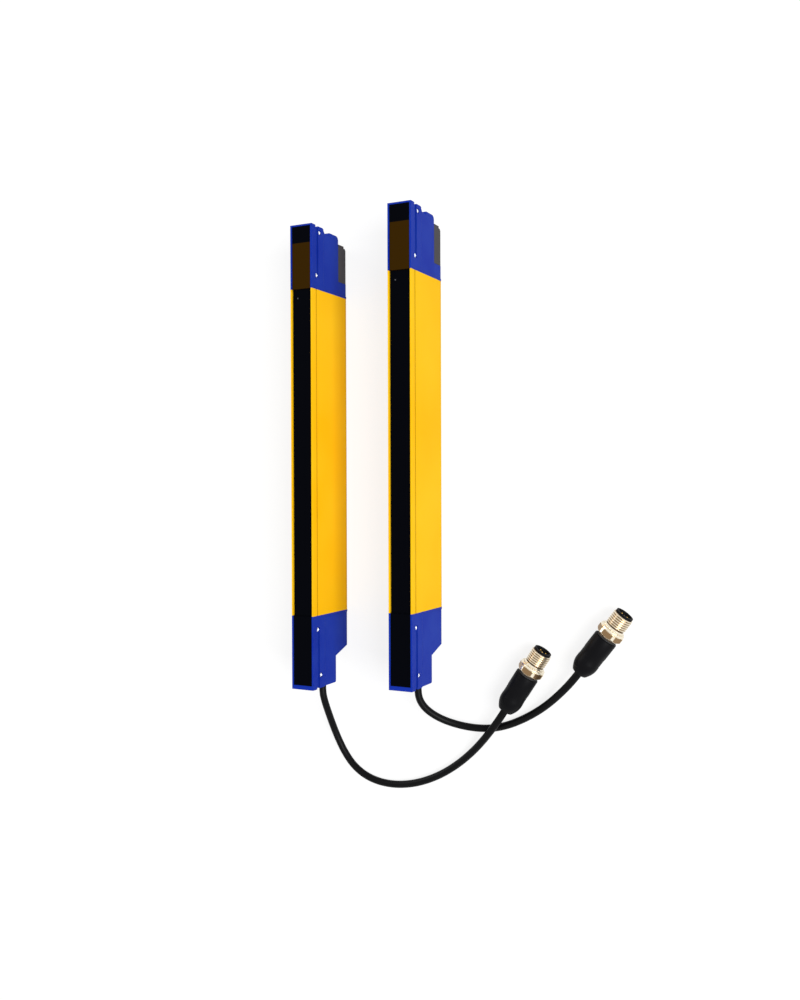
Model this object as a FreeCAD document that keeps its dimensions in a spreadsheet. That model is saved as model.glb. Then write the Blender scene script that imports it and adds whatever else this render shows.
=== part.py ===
import FreeCAD, Part
import math
import os
import Sketcher

# Safety light curtain: an emitter bar and a receiver bar, each with its own lead and M12 plug.
# Both bars lie on their rear mounting faces with the windows up. Millimetres.
# X runs across the pair, Y along the bars towards the ends without a lead, Z out of the windows.
# Origin: middle of the pair of bars, on the mounting plane.

SIZES = [
    ("bar_width", 15.0, "width of a bar across its window"),
    ("bar_depth", 41.5, "from the mounting face to the front"),
    ("profile_length", 197.0, "cut length of the aluminium profile"),
    ("top_length", 38.5, "length of the display end cap"),
    ("bottom_length", 44.5, "length of the lead end cap"),
    ("bar_spacing", 66.0, "distance between the two bars"),
    ("bar_stagger", 5.0, "how far the receiver lies ahead of the emitter"),
    ("profile_wall", 1.4, "side wall of the profile"),
    ("lip_width", 0.8, "front lip on each side of the window"),
    ("ledge_width", 1.2, "ledge that the window is bonded to"),
    ("ledge_thick", 1.1, "thickness of that ledge"),
    ("window_thick", 1.8, "window sheet"),
    ("window_sink", 1.4, "window face below the front lips"),
    ("window_gap", 0.1, "clearance at each edge of a window"),
    ("window_bevel", 0.2, "bevel along the long edges of a window"),
    ("bond_thick", 0.5, "adhesive gasket under the window"),
    ("line_back", 5.2, "side line, measured back from the front"),
    ("line_width", 1.1, "width of the side line"),
    ("line_deep", 0.4, "depth of the side line"),
    ("slot_mouth", 5.2, "mouth of the rear T-slot"),
    ("slot_width", 9.2, "inner width of the T-slot"),
    ("slot_lip", 1.5, "lip of the T-slot"),
    ("slot_deep", 4.5, "depth of the T-slot"),
    ("floor_level", 7.8, "chamber floor above the mounting face"),
    ("port_level", 6.15, "screw port above the mounting face"),
    ("port_radius", 1.05, "screw port in the floor"),
    ("rail_out", 0.9, "how far a board rail stands out"),
    ("rail_thick", 0.8, "thickness of a board rail"),
    ("board_thick", 1.6, "circuit board"),
    ("board_play", 0.2, "play of a board between its rails"),
    ("edge_play", 0.1, "play at the side of a part in the chamber"),
    ("optic_level", 22.0, "underside of the optic board"),
    ("control_level", 11.5, "underside of the control board"),
    ("control_length", 125.0, "length of the control board"),
    ("beam_pitch", 20.0, "distance between beams"),
    ("tunnel_radius", 4.1, "light tunnel in the lens carrier"),
    ("lens_radius", 4.4, "lens"),
    ("lens_edge", 0.9, "edge thickness of a lens"),
    ("lens_dome", 0.9, "rise of a lens above its edge"),
    ("diode_radius", 1.25, "infrared diode"),
    ("diode_height", 2.8, "height of a diode"),
    ("beam_margin", 5.5, "least distance from the first beam to the end of the lens carrier"),
    ("carrier_end", 0.5, "play at each end of the lens carrier"),
    ("carrier_play", 0.1, "play of the lens carrier at the rails"),
    ("cap_wall", 1.4, "wall of an end cap"),
    ("mouth_wall", 0.8, "thinned wall at the mouth of a cap"),
    ("mouth_deep", 2.7, "depth of the thinned mouth"),
    ("bezel_side", 1.0, "cap bezel beside its window"),
    ("bezel_top", 1.0, "cap bezel above the indicator window"),
    ("bezel_bottom", 2.5, "cap bezel below the lower window"),
    ("cap_sink", 0.3, "cap window below its bezel"),
    ("seat_width", 1.2, "ledge under a cap window"),
    ("seat_thick", 1.3, "thickness of that ledge"),
    ("flange_deep", 4.6, "front flange of a cap, along the depth"),
    ("channel_deep", 0.6, "side channel, across the width"),
    ("channel_width", 3.1, "side channel, along the depth"),
    ("ridge_width", 6.2, "ridge behind the side channel"),
    ("flat_sink", 0.3, "side face behind the ridge"),
    ("ridge_corner", 0.9, "bevel at the end of the ridge, along the depth"),
    ("step_end", 1.0, "channel floor below the cap's end"),
    ("ridge_end", 0.3, "ridge below the cap's end"),
    ("dip_slope", 2.2, "slope from the ridge down to the dip, along the depth"),
    ("dip_end", 3.4, "dip below the display cap's end"),
    ("dip_width", 6.8, "dip, along the depth"),
    ("ear_end", 1.3, "rear ear below the display cap's end"),
    ("ear_radius", 2.6, "rounded corner of the rear ear"),
    ("notch_deep", 9.4, "rear notch of the display cap"),
    ("notch_start", 9.2, "rear notch from the joint with the profile"),
    ("cover_length", 23.5, "cover of the setting switches"),
    ("cover_lip", 1.2, "step at the end of the cover"),
    ("cover_inset", 0.3, "cover, behind the side of the cap"),
    ("cover_gap", 0.1, "gap between the cover and the cap"),
    ("tongue_width", 8.0, "plug of the cover"),
    ("tongue_length", 16.0, "plug of the cover, along the bar"),
    ("tongue_tall", 1.2, "plug of the cover, into the cap"),
    ("switch_tall", 2.2, "block of the setting switches"),
    ("switch_count", 4, "slide switches in the block"),
    ("switch_pitch", 2.4, "distance between the slides"),
    ("slide_width", 1.3, "slide of a setting switch, across the bar"),
    ("amber_length", 27.5, "indicator window"),
    ("exit_end", 0.6, "lead exit below the end of its cap"),
    ("step_deep", 14.0, "rear step of the lead cap"),
    ("step_start", 22.6, "rear step from the joint with the profile"),
    ("step_slope", 4.8, "length of the sloped part of the rear step"),
    ("heel_radius", 1.2, "rounded corner between the rear step and the lead exit"),
    ("exit_level", 18.2, "lead exit above the mounting face"),
    ("screw_near", 8.4, "first cap screw from the joint"),
    ("screw_near_back", 5.9, "first cap screw, back from the front"),
    ("screw_far_top", 3.9, "second screw from the end of the display cap"),
    ("screw_far_bottom", 8.1, "second screw from the end of the lead cap"),
    ("screw_far_back", 9.4, "second cap screw, back from the front"),
    ("screw_radius", 0.85, "cap screw thread"),
    ("screw_head", 1.3, "radius of a cap screw's head"),
    ("screw_head_thick", 0.8, "thickness of that head"),
    ("screw_sink", 0.15, "screw head below the side face"),
    ("screw_length", 3.8, "cap screw under its head"),
    ("screw_clear", 0.1, "clearance round a cap screw"),
    ("frame_plate", 1.9, "plate of an inner frame"),
    ("gasket_thick", 0.5, "gasket between frame and profile"),
    ("spigot_length", 10.0, "spigot of an inner frame"),
    ("spigot_wall", 1.2, "wall of the spigot"),
    ("arm_past", 1.4, "arms of an inner frame past the second screw"),
    ("arm_tall", 8.3, "height of the arms"),
    ("arm_gap", 6.6, "space between the arms"),
    ("panel_thick", 1.0, "display board"),
    ("panel_length", 25.0, "display board, along the bar"),
    ("panel_width", 10.2, "display board"),
    ("light_count", 5, "indicator lights"),
    ("light_pitch", 4.6, "distance between indicator lights"),
    ("light_size", 1.8, "indicator light, along the bar"),
    ("light_tall", 0.8, "height of an indicator light"),
    ("end_screw_radius", 1.0, "end screw thread"),
    ("end_screw_length", 9.0, "end screw under its head"),
    ("end_screw_head", 1.8, "radius of an end screw's head"),
    ("end_screw_head_tall", 1.5, "height of that head"),
    ("cable_radius", 2.2, "lead"),
    ("gland_radius", 3.0, "bushing where the lead leaves the cap"),
    ("gland_nose", 2.7, "radius of the bushing at its tip"),
    ("gland_flange", 3.5, "flange of the bushing inside the cap"),
    ("gland_flange_thick", 1.3, "thickness of that flange"),
    ("gland_out", 1.0, "bushing past the end of the cap"),
    ("grip_radius", 6.85, "moulded grip of the plug"),
    ("grip_rear", 3.0, "rear face of the grip"),
    ("grip_dome", 7.6, "domed rear of the grip"),
    ("grip_length", 25.6, "grip from its rear face"),
    ("grip_bevel", 0.7, "front edge of the grip"),
    ("ring_radius", 5.8, "sealing ring between grip and nut"),
    ("ring_thick", 0.8, "thickness of that ring"),
    ("nut_gap", 0.1, "end play of the coupling nut, each side"),
    ("nut_flats", 14.0, "coupling nut across its flats"),
    ("nut_corner", 7.7, "turned corners of the nut"),
    ("nut_length", 6.5, "hexagon of the nut"),
    ("nut_bevel", 0.8, "turned bevel at each end of the hexagon"),
    ("collar_radius", 6.9, "collar ahead of the hexagon"),
    ("collar_length", 1.6, "collar ahead of the hexagon"),
    ("relief_radius", 5.4, "thread relief"),
    ("relief_length", 0.7, "thread relief"),
    ("thread_radius", 6.0, "outer thread of the nut, M12"),
    ("thread_length", 6.5, "threaded length"),
    ("thread_bevel", 0.5, "bevel at the end of the thread"),
    ("nut_bore", 4.75, "bore of the coupling nut"),
    ("bore_play", 0.09, "running clearance of the nut on the insert"),
    ("rim_radius", 5.2, "rim of the insert ahead of the nut"),
    ("rim_length", 1.2, "rim of the insert"),
    ("socket_radius", 4.1, "socket of the insert"),
    ("socket_deep", 8.0, "depth of the socket"),
    ("key_width", 1.2, "coding key in the socket"),
    ("key_tall", 0.7, "coding key in the socket"),
    ("pin_radius", 0.5, "contact pin"),
    ("pin_circle", 2.6, "circle of the contact pins"),
    ("pin_count", 4, "contact pins on the circle, with one more in the middle"),
    ("pin_turn", 45.0, "angle of the first contact pin on the circle"),
    ("pin_short", 1.0, "pins below the rim"),
    ("pin_root", 3.0, "pins into the insert"),
]

# Chips of the control board: share of the board's length, width and length.
CONTROL_CHIPS = ((0.12, 5.0, 7.0), (0.38, 7.0, 7.0), (0.62, 5.0, 5.0), (0.86, 6.0, 10.0))

# Domed rear of the grip: share of its length, share of its rise.
DOME_SHARES = ((0.12, 0.40), (0.38, 0.72), (0.68, 0.92))

# Routes of the leads, from the bushing to the plug, as a hand-laid list of corners.
# The plug's own axis is the last run of its route.
EMITTER_ROUTE = [
    (-33.0, -143.5, 18.2), (-33.0, -148.0, 18.2), (-32.6, -152.9, 17.0), (-32.3, -157.9, 14.8),
    (-32.2, -163.3, 11.8), (-31.9, -169.0, 8.8), (-31.1, -175.0, 6.1), (-29.3, -181.6, 4.0),
    (-26.0, -188.8, 2.7), (-20.2, -196.2, 2.3), (-12.0, -201.6, 2.25), (-2.0, -204.5, 2.25),
    (9.6, -204.9, 2.25), (21.5, -202.8, 2.25), (32.8, -198.7, 2.25), (43.4, -193.0, 2.25),
    (53.2, -185.9, 2.4), (61.6, -178.3, 3.2), (69.0, -170.6, 5.7), (75.4, -162.9, 7.7),
    (80.5, -155.9, 7.9), (84.2, -150.1, 7.9),
]
RECEIVER_ROUTE = [
    (33.0, -138.5, 18.2), (33.0, -143.0, 18.2), (33.9, -147.8, 17.1), (36.2, -152.2, 15.0),
    (39.8, -156.0, 12.1), (44.5, -159.3, 8.8), (50.4, -161.8, 5.7), (57.4, -163.4, 3.5),
    (65.4, -163.9, 2.4), (74.6, -163.0, 2.25), (84.4, -160.0, 2.25), (94.0, -155.3, 2.3),
    (103.2, -149.5, 3.1), (111.6, -142.8, 4.9), (118.7, -136.0, 6.9), (124.2, -130.1, 7.9),
    (128.3, -124.7, 7.9),
]

AXES = {"XY": "XY_Plane", "XZ": "XZ_Plane", "YZ": "YZ_Plane"}

doc = FreeCAD.newDocument("light_curtain")
sheet = doc.addObject("Spreadsheet::Sheet", "sizes")
for row, (alias, number, note) in enumerate(SIZES, start=1):
    sheet.set("A%d" % row, alias)
    sheet.set("B%d" % row, str(number))
    sheet.setAlias("B%d" % row, alias)
    sheet.set("C%d" % row, note)
doc.recompute()


class Size:
    """A length that carries its formula over the sheet together with its present value."""

    def __init__(self, formula, value):
        self.formula = formula
        self.value = float(value)

    def __add__(self, other):
        other = as_size(other)
        return Size("(%s + %s)" % (self.formula, other.formula), self.value + other.value)

    def __radd__(self, other):
        return as_size(other) + self

    def __sub__(self, other):
        other = as_size(other)
        return Size("(%s - %s)" % (self.formula, other.formula), self.value - other.value)

    def __rsub__(self, other):
        return as_size(other) - self

    def __mul__(self, number):
        other = as_size(number)
        return Size("(%s * %s)" % (self.formula, other.formula), self.value * other.value)

    def __rmul__(self, number):
        return self * number

    def __truediv__(self, number):
        other = as_size(number)
        return Size("(%s / %s)" % (self.formula, other.formula), self.value / other.value)

    def __neg__(self):
        return Size("(0 - %s)" % self.formula, -self.value)


def as_size(number):
    if isinstance(number, Size):
        return number
    return Size("%.6f" % number, number)


def whole(amount):
    """The amount rounded down to a whole number."""
    return Size("floor(%s)" % amount.formula, math.floor(amount.value))


def size(alias):
    return Size("sizes.%s" % alias, sheet.get(alias))


def bind(thing, prop, amount):
    """Ties a property to its formula in the sheet."""
    thing.setExpression(prop, as_size(amount).formula)


class Names:
    """Every sheet value as an attribute."""

    def __init__(self):
        for alias, _number, _note in SIZES:
            setattr(self, alias, size(alias))


s = Names()

# Levels and places that several pieces share.
half = s.bar_width / 2
chamber_half = half - s.profile_wall
window_half = half - s.lip_width - s.window_gap
ledge_half = half - s.lip_width - s.ledge_width
window_top = s.bar_depth - s.window_sink
window_base = window_top - s.window_thick
ledge_top = window_base - s.bond_thick
rail_half = chamber_half - s.rail_out
inner_half = rail_half - s.carrier_play
optic_top = s.optic_level + s.board_thick
carrier_top = ledge_top - s.ledge_thick - s.edge_play
joint_low = s.bottom_length
joint_high = s.bottom_length + s.profile_length
bar_length = joint_high + s.top_length
cap_half = half - s.cap_wall
cap_window_top = s.bar_depth - s.cap_sink
cap_window_base = cap_window_top - s.window_thick
cap_seat_under = cap_window_base - s.seat_thick
cap_window_half = half - s.bezel_side
cap_seat_half = cap_window_half - s.seat_width
channel_front = s.bar_depth - s.flange_deep
channel_rear = channel_front - s.channel_width
ridge_rear = channel_rear - s.ridge_width
dip_front = ridge_rear - s.dip_slope
dip_rear = ridge_rear - s.dip_width
mouth_half = half - s.mouth_wall
plate_half = mouth_half - s.edge_play
arm_top = cap_seat_under - s.panel_thick
gland_seat = s.step_end + s.cap_wall
beam_steps = whole((s.profile_length - (s.spigot_length + s.beam_margin) * 2) / s.beam_pitch)
beam_start = joint_low + (s.profile_length - beam_steps * s.beam_pitch) / 2
nut_start = s.grip_length + s.ring_thick + s.nut_gap
collar_start = nut_start + s.nut_length
relief_start = collar_start + s.collar_length
thread_start = relief_start + s.relief_length
nut_end = thread_start + s.thread_length
insert_radius = s.nut_bore - s.bore_play
rim_start = nut_end + s.nut_gap
tip = rim_start + s.rim_length
pieces = []


def new_body(name):
    body = doc.addObject("PartDesign::Body", name)
    body.Label = name
    pieces.append(body)
    return body


def origin_plane(body, plane):
    for feature in body.Origin.OriginFeatures:
        if feature.Role == AXES[plane]:
            return feature
    raise RuntimeError("no plane " + plane)


def new_sketch(body, name, plane, level):
    """A sketch parallel to one of the body's origin planes, at a level along that plane's axis."""
    sketch = body.newObject("Sketcher::SketchObject", name)
    sketch.AttachmentSupport = [(origin_plane(body, plane), "")]
    sketch.MapMode = "FlatFace"
    level = as_size(level)
    bind(sketch, "AttachmentOffset.Base.z", -level if plane == "XZ" else level)
    return sketch


def point(pair):
    return FreeCAD.Vector(as_size(pair[0]).value, as_size(pair[1]).value, 0)


def tie_point(sketch, geometry, position, pair):
    """Fixes a point of the sketch at its two distances from the sketch's axes."""
    for kind, axis, amount in (("DistanceX", -2, pair[0]), ("DistanceY", -1, pair[1])):
        amount = as_size(amount)
        if amount.formula == as_size(0).formula:
            sketch.addConstraint(Sketcher.Constraint("PointOnObject", geometry, position, axis))
            continue
        place = sketch.addConstraint(Sketcher.Constraint(kind, geometry, position, amount.value))
        sketch.setExpression("Constraints[%d]" % place, amount.formula)


def draw_outline(sketch, corners):
    """A closed outline of straight edges, every corner tied to the sheet."""
    first = sketch.GeometryCount
    count = len(corners)
    lines = [Part.LineSegment(point(corners[i]), point(corners[(i + 1) % count])) for i in range(count)]
    sketch.addGeometry(lines, False)
    for i in range(count):
        sketch.addConstraint(Sketcher.Constraint("Coincident", first + i, 2, first + (i + 1) % count, 1))
    for i in range(count):
        tie_point(sketch, first + i, 1, corners[i])


def draw_circle(sketch, centre, radius):
    radius = as_size(radius)
    index = sketch.addGeometry(Part.Circle(point(centre), FreeCAD.Vector(0, 0, 1), radius.value), False)
    tie_point(sketch, index, 3, centre)
    place = sketch.addConstraint(Sketcher.Constraint("Radius", index, radius.value))
    sketch.setExpression("Constraints[%d]" % place, radius.formula)


def rectangle(low_a, high_a, low_b, high_b):
    return [(low_a, low_b), (high_a, low_b), (high_a, high_b), (low_a, high_b)]


def mirrored(corners):
    """The corners of the right half followed by the same corners on the left."""
    return corners + [(-a, b) for a, b in reversed(corners)]


def extrude(body, name, plane, start, end, outlines=(), circles=(), cut=False):
    """A pad or pocket between two levels along the plane's axis."""
    sketch = new_sketch(body, name + "_sketch", plane, start)
    for corners in outlines:
        draw_outline(sketch, corners)
    for centre, radius in circles:
        draw_circle(sketch, centre, radius)
    feature = body.newObject("PartDesign::Pocket" if cut else "PartDesign::Pad", name)
    feature.Profile = sketch
    bind(feature, "Length", as_size(end) - start)
    feature.Reversed = (plane != "XZ") if cut else (plane == "XZ")
    return feature


def revolve(body, name, corners):
    """A solid of revolution about the body's X axis; corners are (along, radius) pairs."""
    sketch = new_sketch(body, name + "_sketch", "XY", 0)
    draw_outline(sketch, corners)
    feature = body.newObject("PartDesign::Revolution", name)
    feature.Profile = sketch
    feature.ReferenceAxis = (sketch, ["H_Axis"])
    feature.Angle = 360
    return feature


def dress(body, kind, name, amount, wanted):
    """A fillet or chamfer on the edges that the test picks by direction and middle."""
    doc.recompute()
    base = body.Tip
    edges = []
    for number, edge in enumerate(base.Shape.Edges, start=1):
        middle = edge.valueAt((edge.FirstParameter + edge.LastParameter) / 2)
        start = edge.valueAt(edge.FirstParameter)
        along = (middle - start)
        if along.Length > 0:
            along.normalize()
        if wanted(middle, along):
            edges.append("Edge%d" % number)
    if not edges:
        raise RuntimeError("no edges for " + name)
    feature = body.newObject("PartDesign::" + kind, name)
    feature.Base = (base, edges)
    bind(feature, "Radius" if kind == "Fillet" else "Size", amount)
    return feature


def near(value, amount):
    return abs(value - as_size(amount).value) < 0.01


def group(name, shapes):
    """One node that holds several like solids."""
    feature = doc.addObject("Part::Feature", name)
    feature.Label = name
    feature.Shape = Part.makeCompound(shapes)
    pieces.append(feature)
    return feature


def vector(x, y, z):
    return FreeCAD.Vector(as_size(x).value, as_size(y).value, as_size(z).value)


def cylinder(radius, length, base, direction):
    return Part.makeCylinder(as_size(radius).value, as_size(length).value, base, direction)


def make_profile(name):
    """Extruded housing: front channel with lips and ledges, board rails, screw port and rear T-slot."""
    groove_low = s.bar_depth - s.line_back - s.line_width / 2
    groove_high = groove_low + s.line_width
    right = [
        (s.slot_width / 2, s.slot_deep), (s.slot_width / 2, s.slot_lip),
        (s.slot_mouth / 2, s.slot_lip), (s.slot_mouth / 2, 0), (half, 0),
        (half, groove_low), (half - s.line_deep, groove_low),
        (half - s.line_deep, groove_high), (half, groove_high),
        (half, s.bar_depth), (half - s.lip_width, s.bar_depth),
        (half - s.lip_width, ledge_top), (ledge_half, ledge_top),
        (ledge_half, ledge_top - s.ledge_thick), (chamber_half, ledge_top - s.ledge_thick),
    ]
    for level in (s.optic_level, s.control_level):
        above = level + s.board_thick + s.board_play
        for low in (above, level - s.rail_thick):
            right += [
                (chamber_half, low + s.rail_thick), (rail_half, low + s.rail_thick),
                (rail_half, low), (chamber_half, low),
            ]
    right.append((chamber_half, s.floor_level))
    body = new_body(name)
    extrude(body, name + "_section", "XZ", joint_low, joint_high,
            [mirrored(right)], [((0, s.port_level), s.port_radius)])
    dress(body, "Fillet", name + "_rear_edges", s.line_deep,
          lambda p, d: abs(d.y) > 0.99 and near(abs(p.x), half) and near(p.z, 0))
    return body


def make_window(name, low, high, half_width, base, top):
    """A flat sheet with its two long front edges bevelled."""
    body = new_body(name)
    extrude(body, name + "_sheet", "XZ", low, high, [rectangle(-half_width, half_width, base, top)])
    dress(body, "Chamfer", name + "_edges", s.window_bevel,
          lambda p, d: abs(d.y) > 0.99 and near(p.z, top))
    return body


def make_window_bond(name):
    """Adhesive gasket: a long frame between the ledges and the window."""
    body = new_body(name)
    extrude(body, name + "_strip", "XY", ledge_top, window_base,
            [rectangle(-window_half, window_half, joint_low, joint_high),
             rectangle(-ledge_half, ledge_half, joint_low + s.ledge_width, joint_high - s.ledge_width)])
    return body


def make_board(name, level, length):
    """Circuit board in its rails, with its chips."""
    low = joint_low + (s.profile_length - length) / 2
    body = new_body(name)
    extrude(body, name + "_sheet", "XY", level, level + s.board_thick,
            [rectangle(-(chamber_half - s.edge_play), chamber_half - s.edge_play, low, low + length)])
    return body


def make_control_board(name):
    body = make_board(name, s.control_level, s.control_length)
    low = joint_low + (s.profile_length - s.control_length) / 2
    top = s.control_level + s.board_thick
    chips = []
    for share, wide, long in CONTROL_CHIPS:
        middle = low + s.control_length * share
        chips.append(rectangle(as_size(-wide / 2), as_size(wide / 2), middle - long / 2, middle + long / 2))
    extrude(body, name + "_chips", "XY", top, top + s.board_thick, chips)
    return body


def make_lens_carrier(name):
    """Black moulded bar with one light tunnel and one lens seat for each beam."""
    low = joint_low + s.spigot_length + s.carrier_end
    high = joint_high - s.spigot_length - s.carrier_end
    body = new_body(name)
    extrude(body, name + "_bar", "XZ", low, high,
            [rectangle(-inner_half, inner_half, optic_top, carrier_top)])
    first = (as_size(0), beam_start)
    tunnel = extrude(body, name + "_tunnel", "XY", optic_top, carrier_top, (),
                     [(first, s.tunnel_radius)], cut=True)
    seat_level = carrier_top - s.lens_edge - s.lens_dome
    seat = extrude(body, name + "_seat", "XY", seat_level, carrier_top, (),
                   [(first, s.lens_radius + s.edge_play)], cut=True)
    row = body.newObject("PartDesign::LinearPattern", name + "_row")
    row.Originals = [tunnel, seat]
    row.Direction = (origin_line(body, "Y_Axis"), [""])
    bind(row, "Length", beam_steps * s.beam_pitch)
    bind(row, "Occurrences", beam_steps + 1)
    body.Tip = row
    return body


def origin_line(body, role):
    for feature in body.Origin.OriginFeatures:
        if feature.Role == role:
            return feature
    raise RuntimeError("no axis " + role)


def beam_places():
    count = int(beam_steps.value) + 1
    return [beam_start.value + i * s.beam_pitch.value for i in range(count)]


def make_lenses(name):
    """Plano-convex lenses in their seats."""
    rise = s.lens_dome.value
    radius = s.lens_radius.value
    ball = (radius * radius + rise * rise) / (2 * rise)
    seat = (carrier_top - s.lens_edge - s.lens_dome).value
    shapes = []
    for y in beam_places():
        base = FreeCAD.Vector(0, y, seat)
        edge = cylinder(radius, s.lens_edge, base, FreeCAD.Vector(0, 0, 1))
        upper = base + FreeCAD.Vector(0, 0, s.lens_edge.value)
        dome = cylinder(radius, rise, upper, FreeCAD.Vector(0, 0, 1))
        dome = dome.common(Part.makeSphere(ball, upper + FreeCAD.Vector(0, 0, rise - ball)))
        shapes.append(edge.fuse(dome).removeSplitter())
    return group(name, shapes)


def make_diodes(name):
    """Infrared diodes standing on the optic board, one under each tunnel."""
    shapes = []
    for y in beam_places():
        base = vector(0, y, optic_top)
        post = cylinder(s.diode_radius, s.diode_height, base, FreeCAD.Vector(0, 0, 1))
        top = optic_top + s.diode_height
        rim = [e for e in post.Edges if near(e.CenterOfMass.z, top) and e.isClosed()]
        shapes.append(post.makeChamfer(s.diode_radius.value / 3, rim))
    return group(name, shapes)


def cap_holes(body, name, joint, way):
    """Countersunk screw holes through both side walls; way is +1 when the cap runs up from the joint."""
    head_floor = half - s.screw_sink - s.screw_head_thick
    for tag, along, back in screw_places(way):
        centre = (joint + along * way, s.bar_depth - back)
        for side, sign in (("right", 1), ("left", -1)):
            for part, radius, inner in (("bore", s.screw_radius, cap_half - s.cap_wall),
                                        ("sink", s.screw_head, head_floor)):
                low, high = (inner, half) if sign > 0 else (-half, -inner)
                extrude(body, "%s_%s_%s_%s" % (name, tag, part, side), "YZ", low, high,
                        (), [(centre, radius + s.screw_clear)], cut=True)


def far_screw(way):
    """Distance of a cap's second screw from the joint with the profile."""
    return s.top_length - s.screw_far_top if way > 0 else s.bottom_length - s.screw_far_bottom


def screw_places(way):
    return (("near", s.screw_near, s.screw_near_back), ("far", far_screw(way), s.screw_far_back))


def cap_relief(body, name, joint, way, end):
    """Side channel between flange and ridge, and the slightly sunk flat behind the ridge."""
    channel_low = joint + (s.screw_near - s.screw_head) * way
    flat_start = joint + s.screw_head * way
    for side, sign in (("right", 1), ("left", -1)):
        for part, sink, start, low_z, high_z in (
                ("channel", s.channel_deep, channel_low, channel_rear, channel_front),
                ("flat", s.flat_sink, flat_start, as_size(-1), ridge_rear)):
            low, high = (half - sink, half) if sign > 0 else (-half, -(half - sink))
            extrude(body, "%s_%s_%s" % (name, part, side), "YZ", low, high,
                    [[(start, low_z), (end + way, low_z), (end + way, high_z), (start, high_z)]], cut=True)


def hollow_cap(body, name, joint, way, bezel_end, seat_end, inside_end, floor, rear_end):
    """Everything that is taken out of a cap: window seat, chamber, rear bay and thinned mouth."""
    chamber_top = cap_seat_under
    extrude(body, name + "_window_seat", "XY", cap_window_base, s.bar_depth + 1,
            [run_box(-cap_window_half, cap_window_half, joint - way, bezel_end)], cut=True)
    extrude(body, name + "_opening", "XY", chamber_top - s.seat_thick, cap_window_base + s.edge_play,
            [run_box(-cap_seat_half, cap_seat_half, joint - way, seat_end)], cut=True)
    extrude(body, name + "_chamber", "XY", floor, chamber_top,
            [run_box(-cap_half, cap_half, joint - way, inside_end)], cut=True)
    extrude(body, name + "_rear_bay", "XY", s.cap_wall, floor + s.cap_wall,
            [run_box(-cap_half, cap_half, joint - way, rear_end)], cut=True)
    extrude(body, name + "_mouth", "XY", s.mouth_wall, chamber_top,
            [run_box(-mouth_half, mouth_half, joint - way, joint + s.mouth_deep * way)], cut=True)


def run_box(low_x, high_x, start_y, end_y):
    return [(low_x, start_y), (high_x, start_y), (high_x, end_y), (low_x, end_y)]


def flat_end(end, way):
    """Front part of a cap's end: flange, channel floor and ridge, from the front backwards."""
    return [
        (end, s.bar_depth), (end, channel_front),
        (end - s.step_end * way, channel_front), (end - s.step_end * way, channel_rear),
        (end - s.ridge_end * way, channel_rear), (end - s.ridge_end * way, ridge_rear + s.ridge_corner),
        (end - (s.ridge_end + s.ridge_corner / 2) * way, ridge_rear),
    ]


def make_top_cap(name):
    """Display end cap: one moulding with a stepped end, a rear notch and a bay for the switches."""
    joint = joint_high
    end = bar_length
    dip = end - s.dip_end
    ear = end - s.ear_end
    side = [(joint, 0), (joint, s.bar_depth)] + flat_end(end, 1) + [
        (dip, dip_front), (dip, dip_rear), (ear, dip_rear - s.ear_end / 2),
        (ear, s.notch_deep), (joint + s.notch_start, s.notch_deep), (joint + s.notch_start, 0),
    ]
    body = new_body(name)
    extrude(body, name + "_block", "YZ", -half, half, [side])
    dress(body, "Fillet", name + "_ear", s.ear_radius,
          lambda p, d: abs(d.x) > 0.99 and near(p.y, ear) and near(p.z, s.notch_deep))
    floor = s.notch_deep + s.cap_wall
    cap_relief(body, name, joint, 1, end)
    inside = dip - s.cap_wall
    room_end = end - s.step_end - s.cap_wall
    hollow_cap(body, name, joint, 1, end - s.bezel_top, room_end, inside, floor,
               joint + s.notch_start - s.cap_wall)
    extrude(body, name + "_front_room", "XY", dip_front + s.cap_wall, cap_seat_under,
            [run_box(-cap_half, cap_half, inside - s.cap_wall, room_end)], cut=True)
    tongue_start = joint + s.notch_start + (s.cover_length - s.tongue_length) / 2
    extrude(body, name + "_switch_bay", "XY", s.notch_deep - 1, floor + s.edge_play,
            [run_box(-(s.tongue_width / 2 + s.cover_gap), s.tongue_width / 2 + s.cover_gap,
                     tongue_start - s.cover_gap, tongue_start + s.tongue_length + s.cover_gap)], cut=True)
    cap_holes(body, name, joint, 1)
    return body


def make_bottom_cap(name):
    """Lead end cap: the same front, with a stepped rear and a hole for the bushing."""
    joint = joint_low
    end = as_size(0)
    slope_top = joint - s.step_start
    side = [(joint, 0), (joint, s.bar_depth)] + flat_end(end, -1) + [
        (s.exit_end, dip_front), (s.exit_end, s.step_deep),
        (slope_top - s.step_slope, s.step_deep), (slope_top, 0),
    ]
    body = new_body(name)
    extrude(body, name + "_block", "YZ", -half, half, [side])
    dress(body, "Fillet", name + "_heel", s.heel_radius,
          lambda p, d: abs(d.x) > 0.99 and near(p.y, s.exit_end) and near(p.z, s.step_deep))
    floor = s.step_deep + s.cap_wall
    cap_relief(body, name, joint, -1, end)
    hollow_cap(body, name, joint, -1, s.bezel_bottom, s.bezel_bottom + s.seat_width, gland_seat,
               floor, slope_top + s.cap_wall)
    extrude(body, name + "_lead_hole", "XZ", end, gland_seat + s.edge_play,
            (), [((0, s.exit_level), s.gland_radius)], cut=True)
    extrude(body, name + "_lead_seat", "XZ", gland_seat, gland_seat + s.gland_flange_thick + s.cap_wall,
            (), [((0, s.exit_level), s.gland_flange + s.edge_play)], cut=True)
    cap_holes(body, name, joint, -1)
    return body


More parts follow.
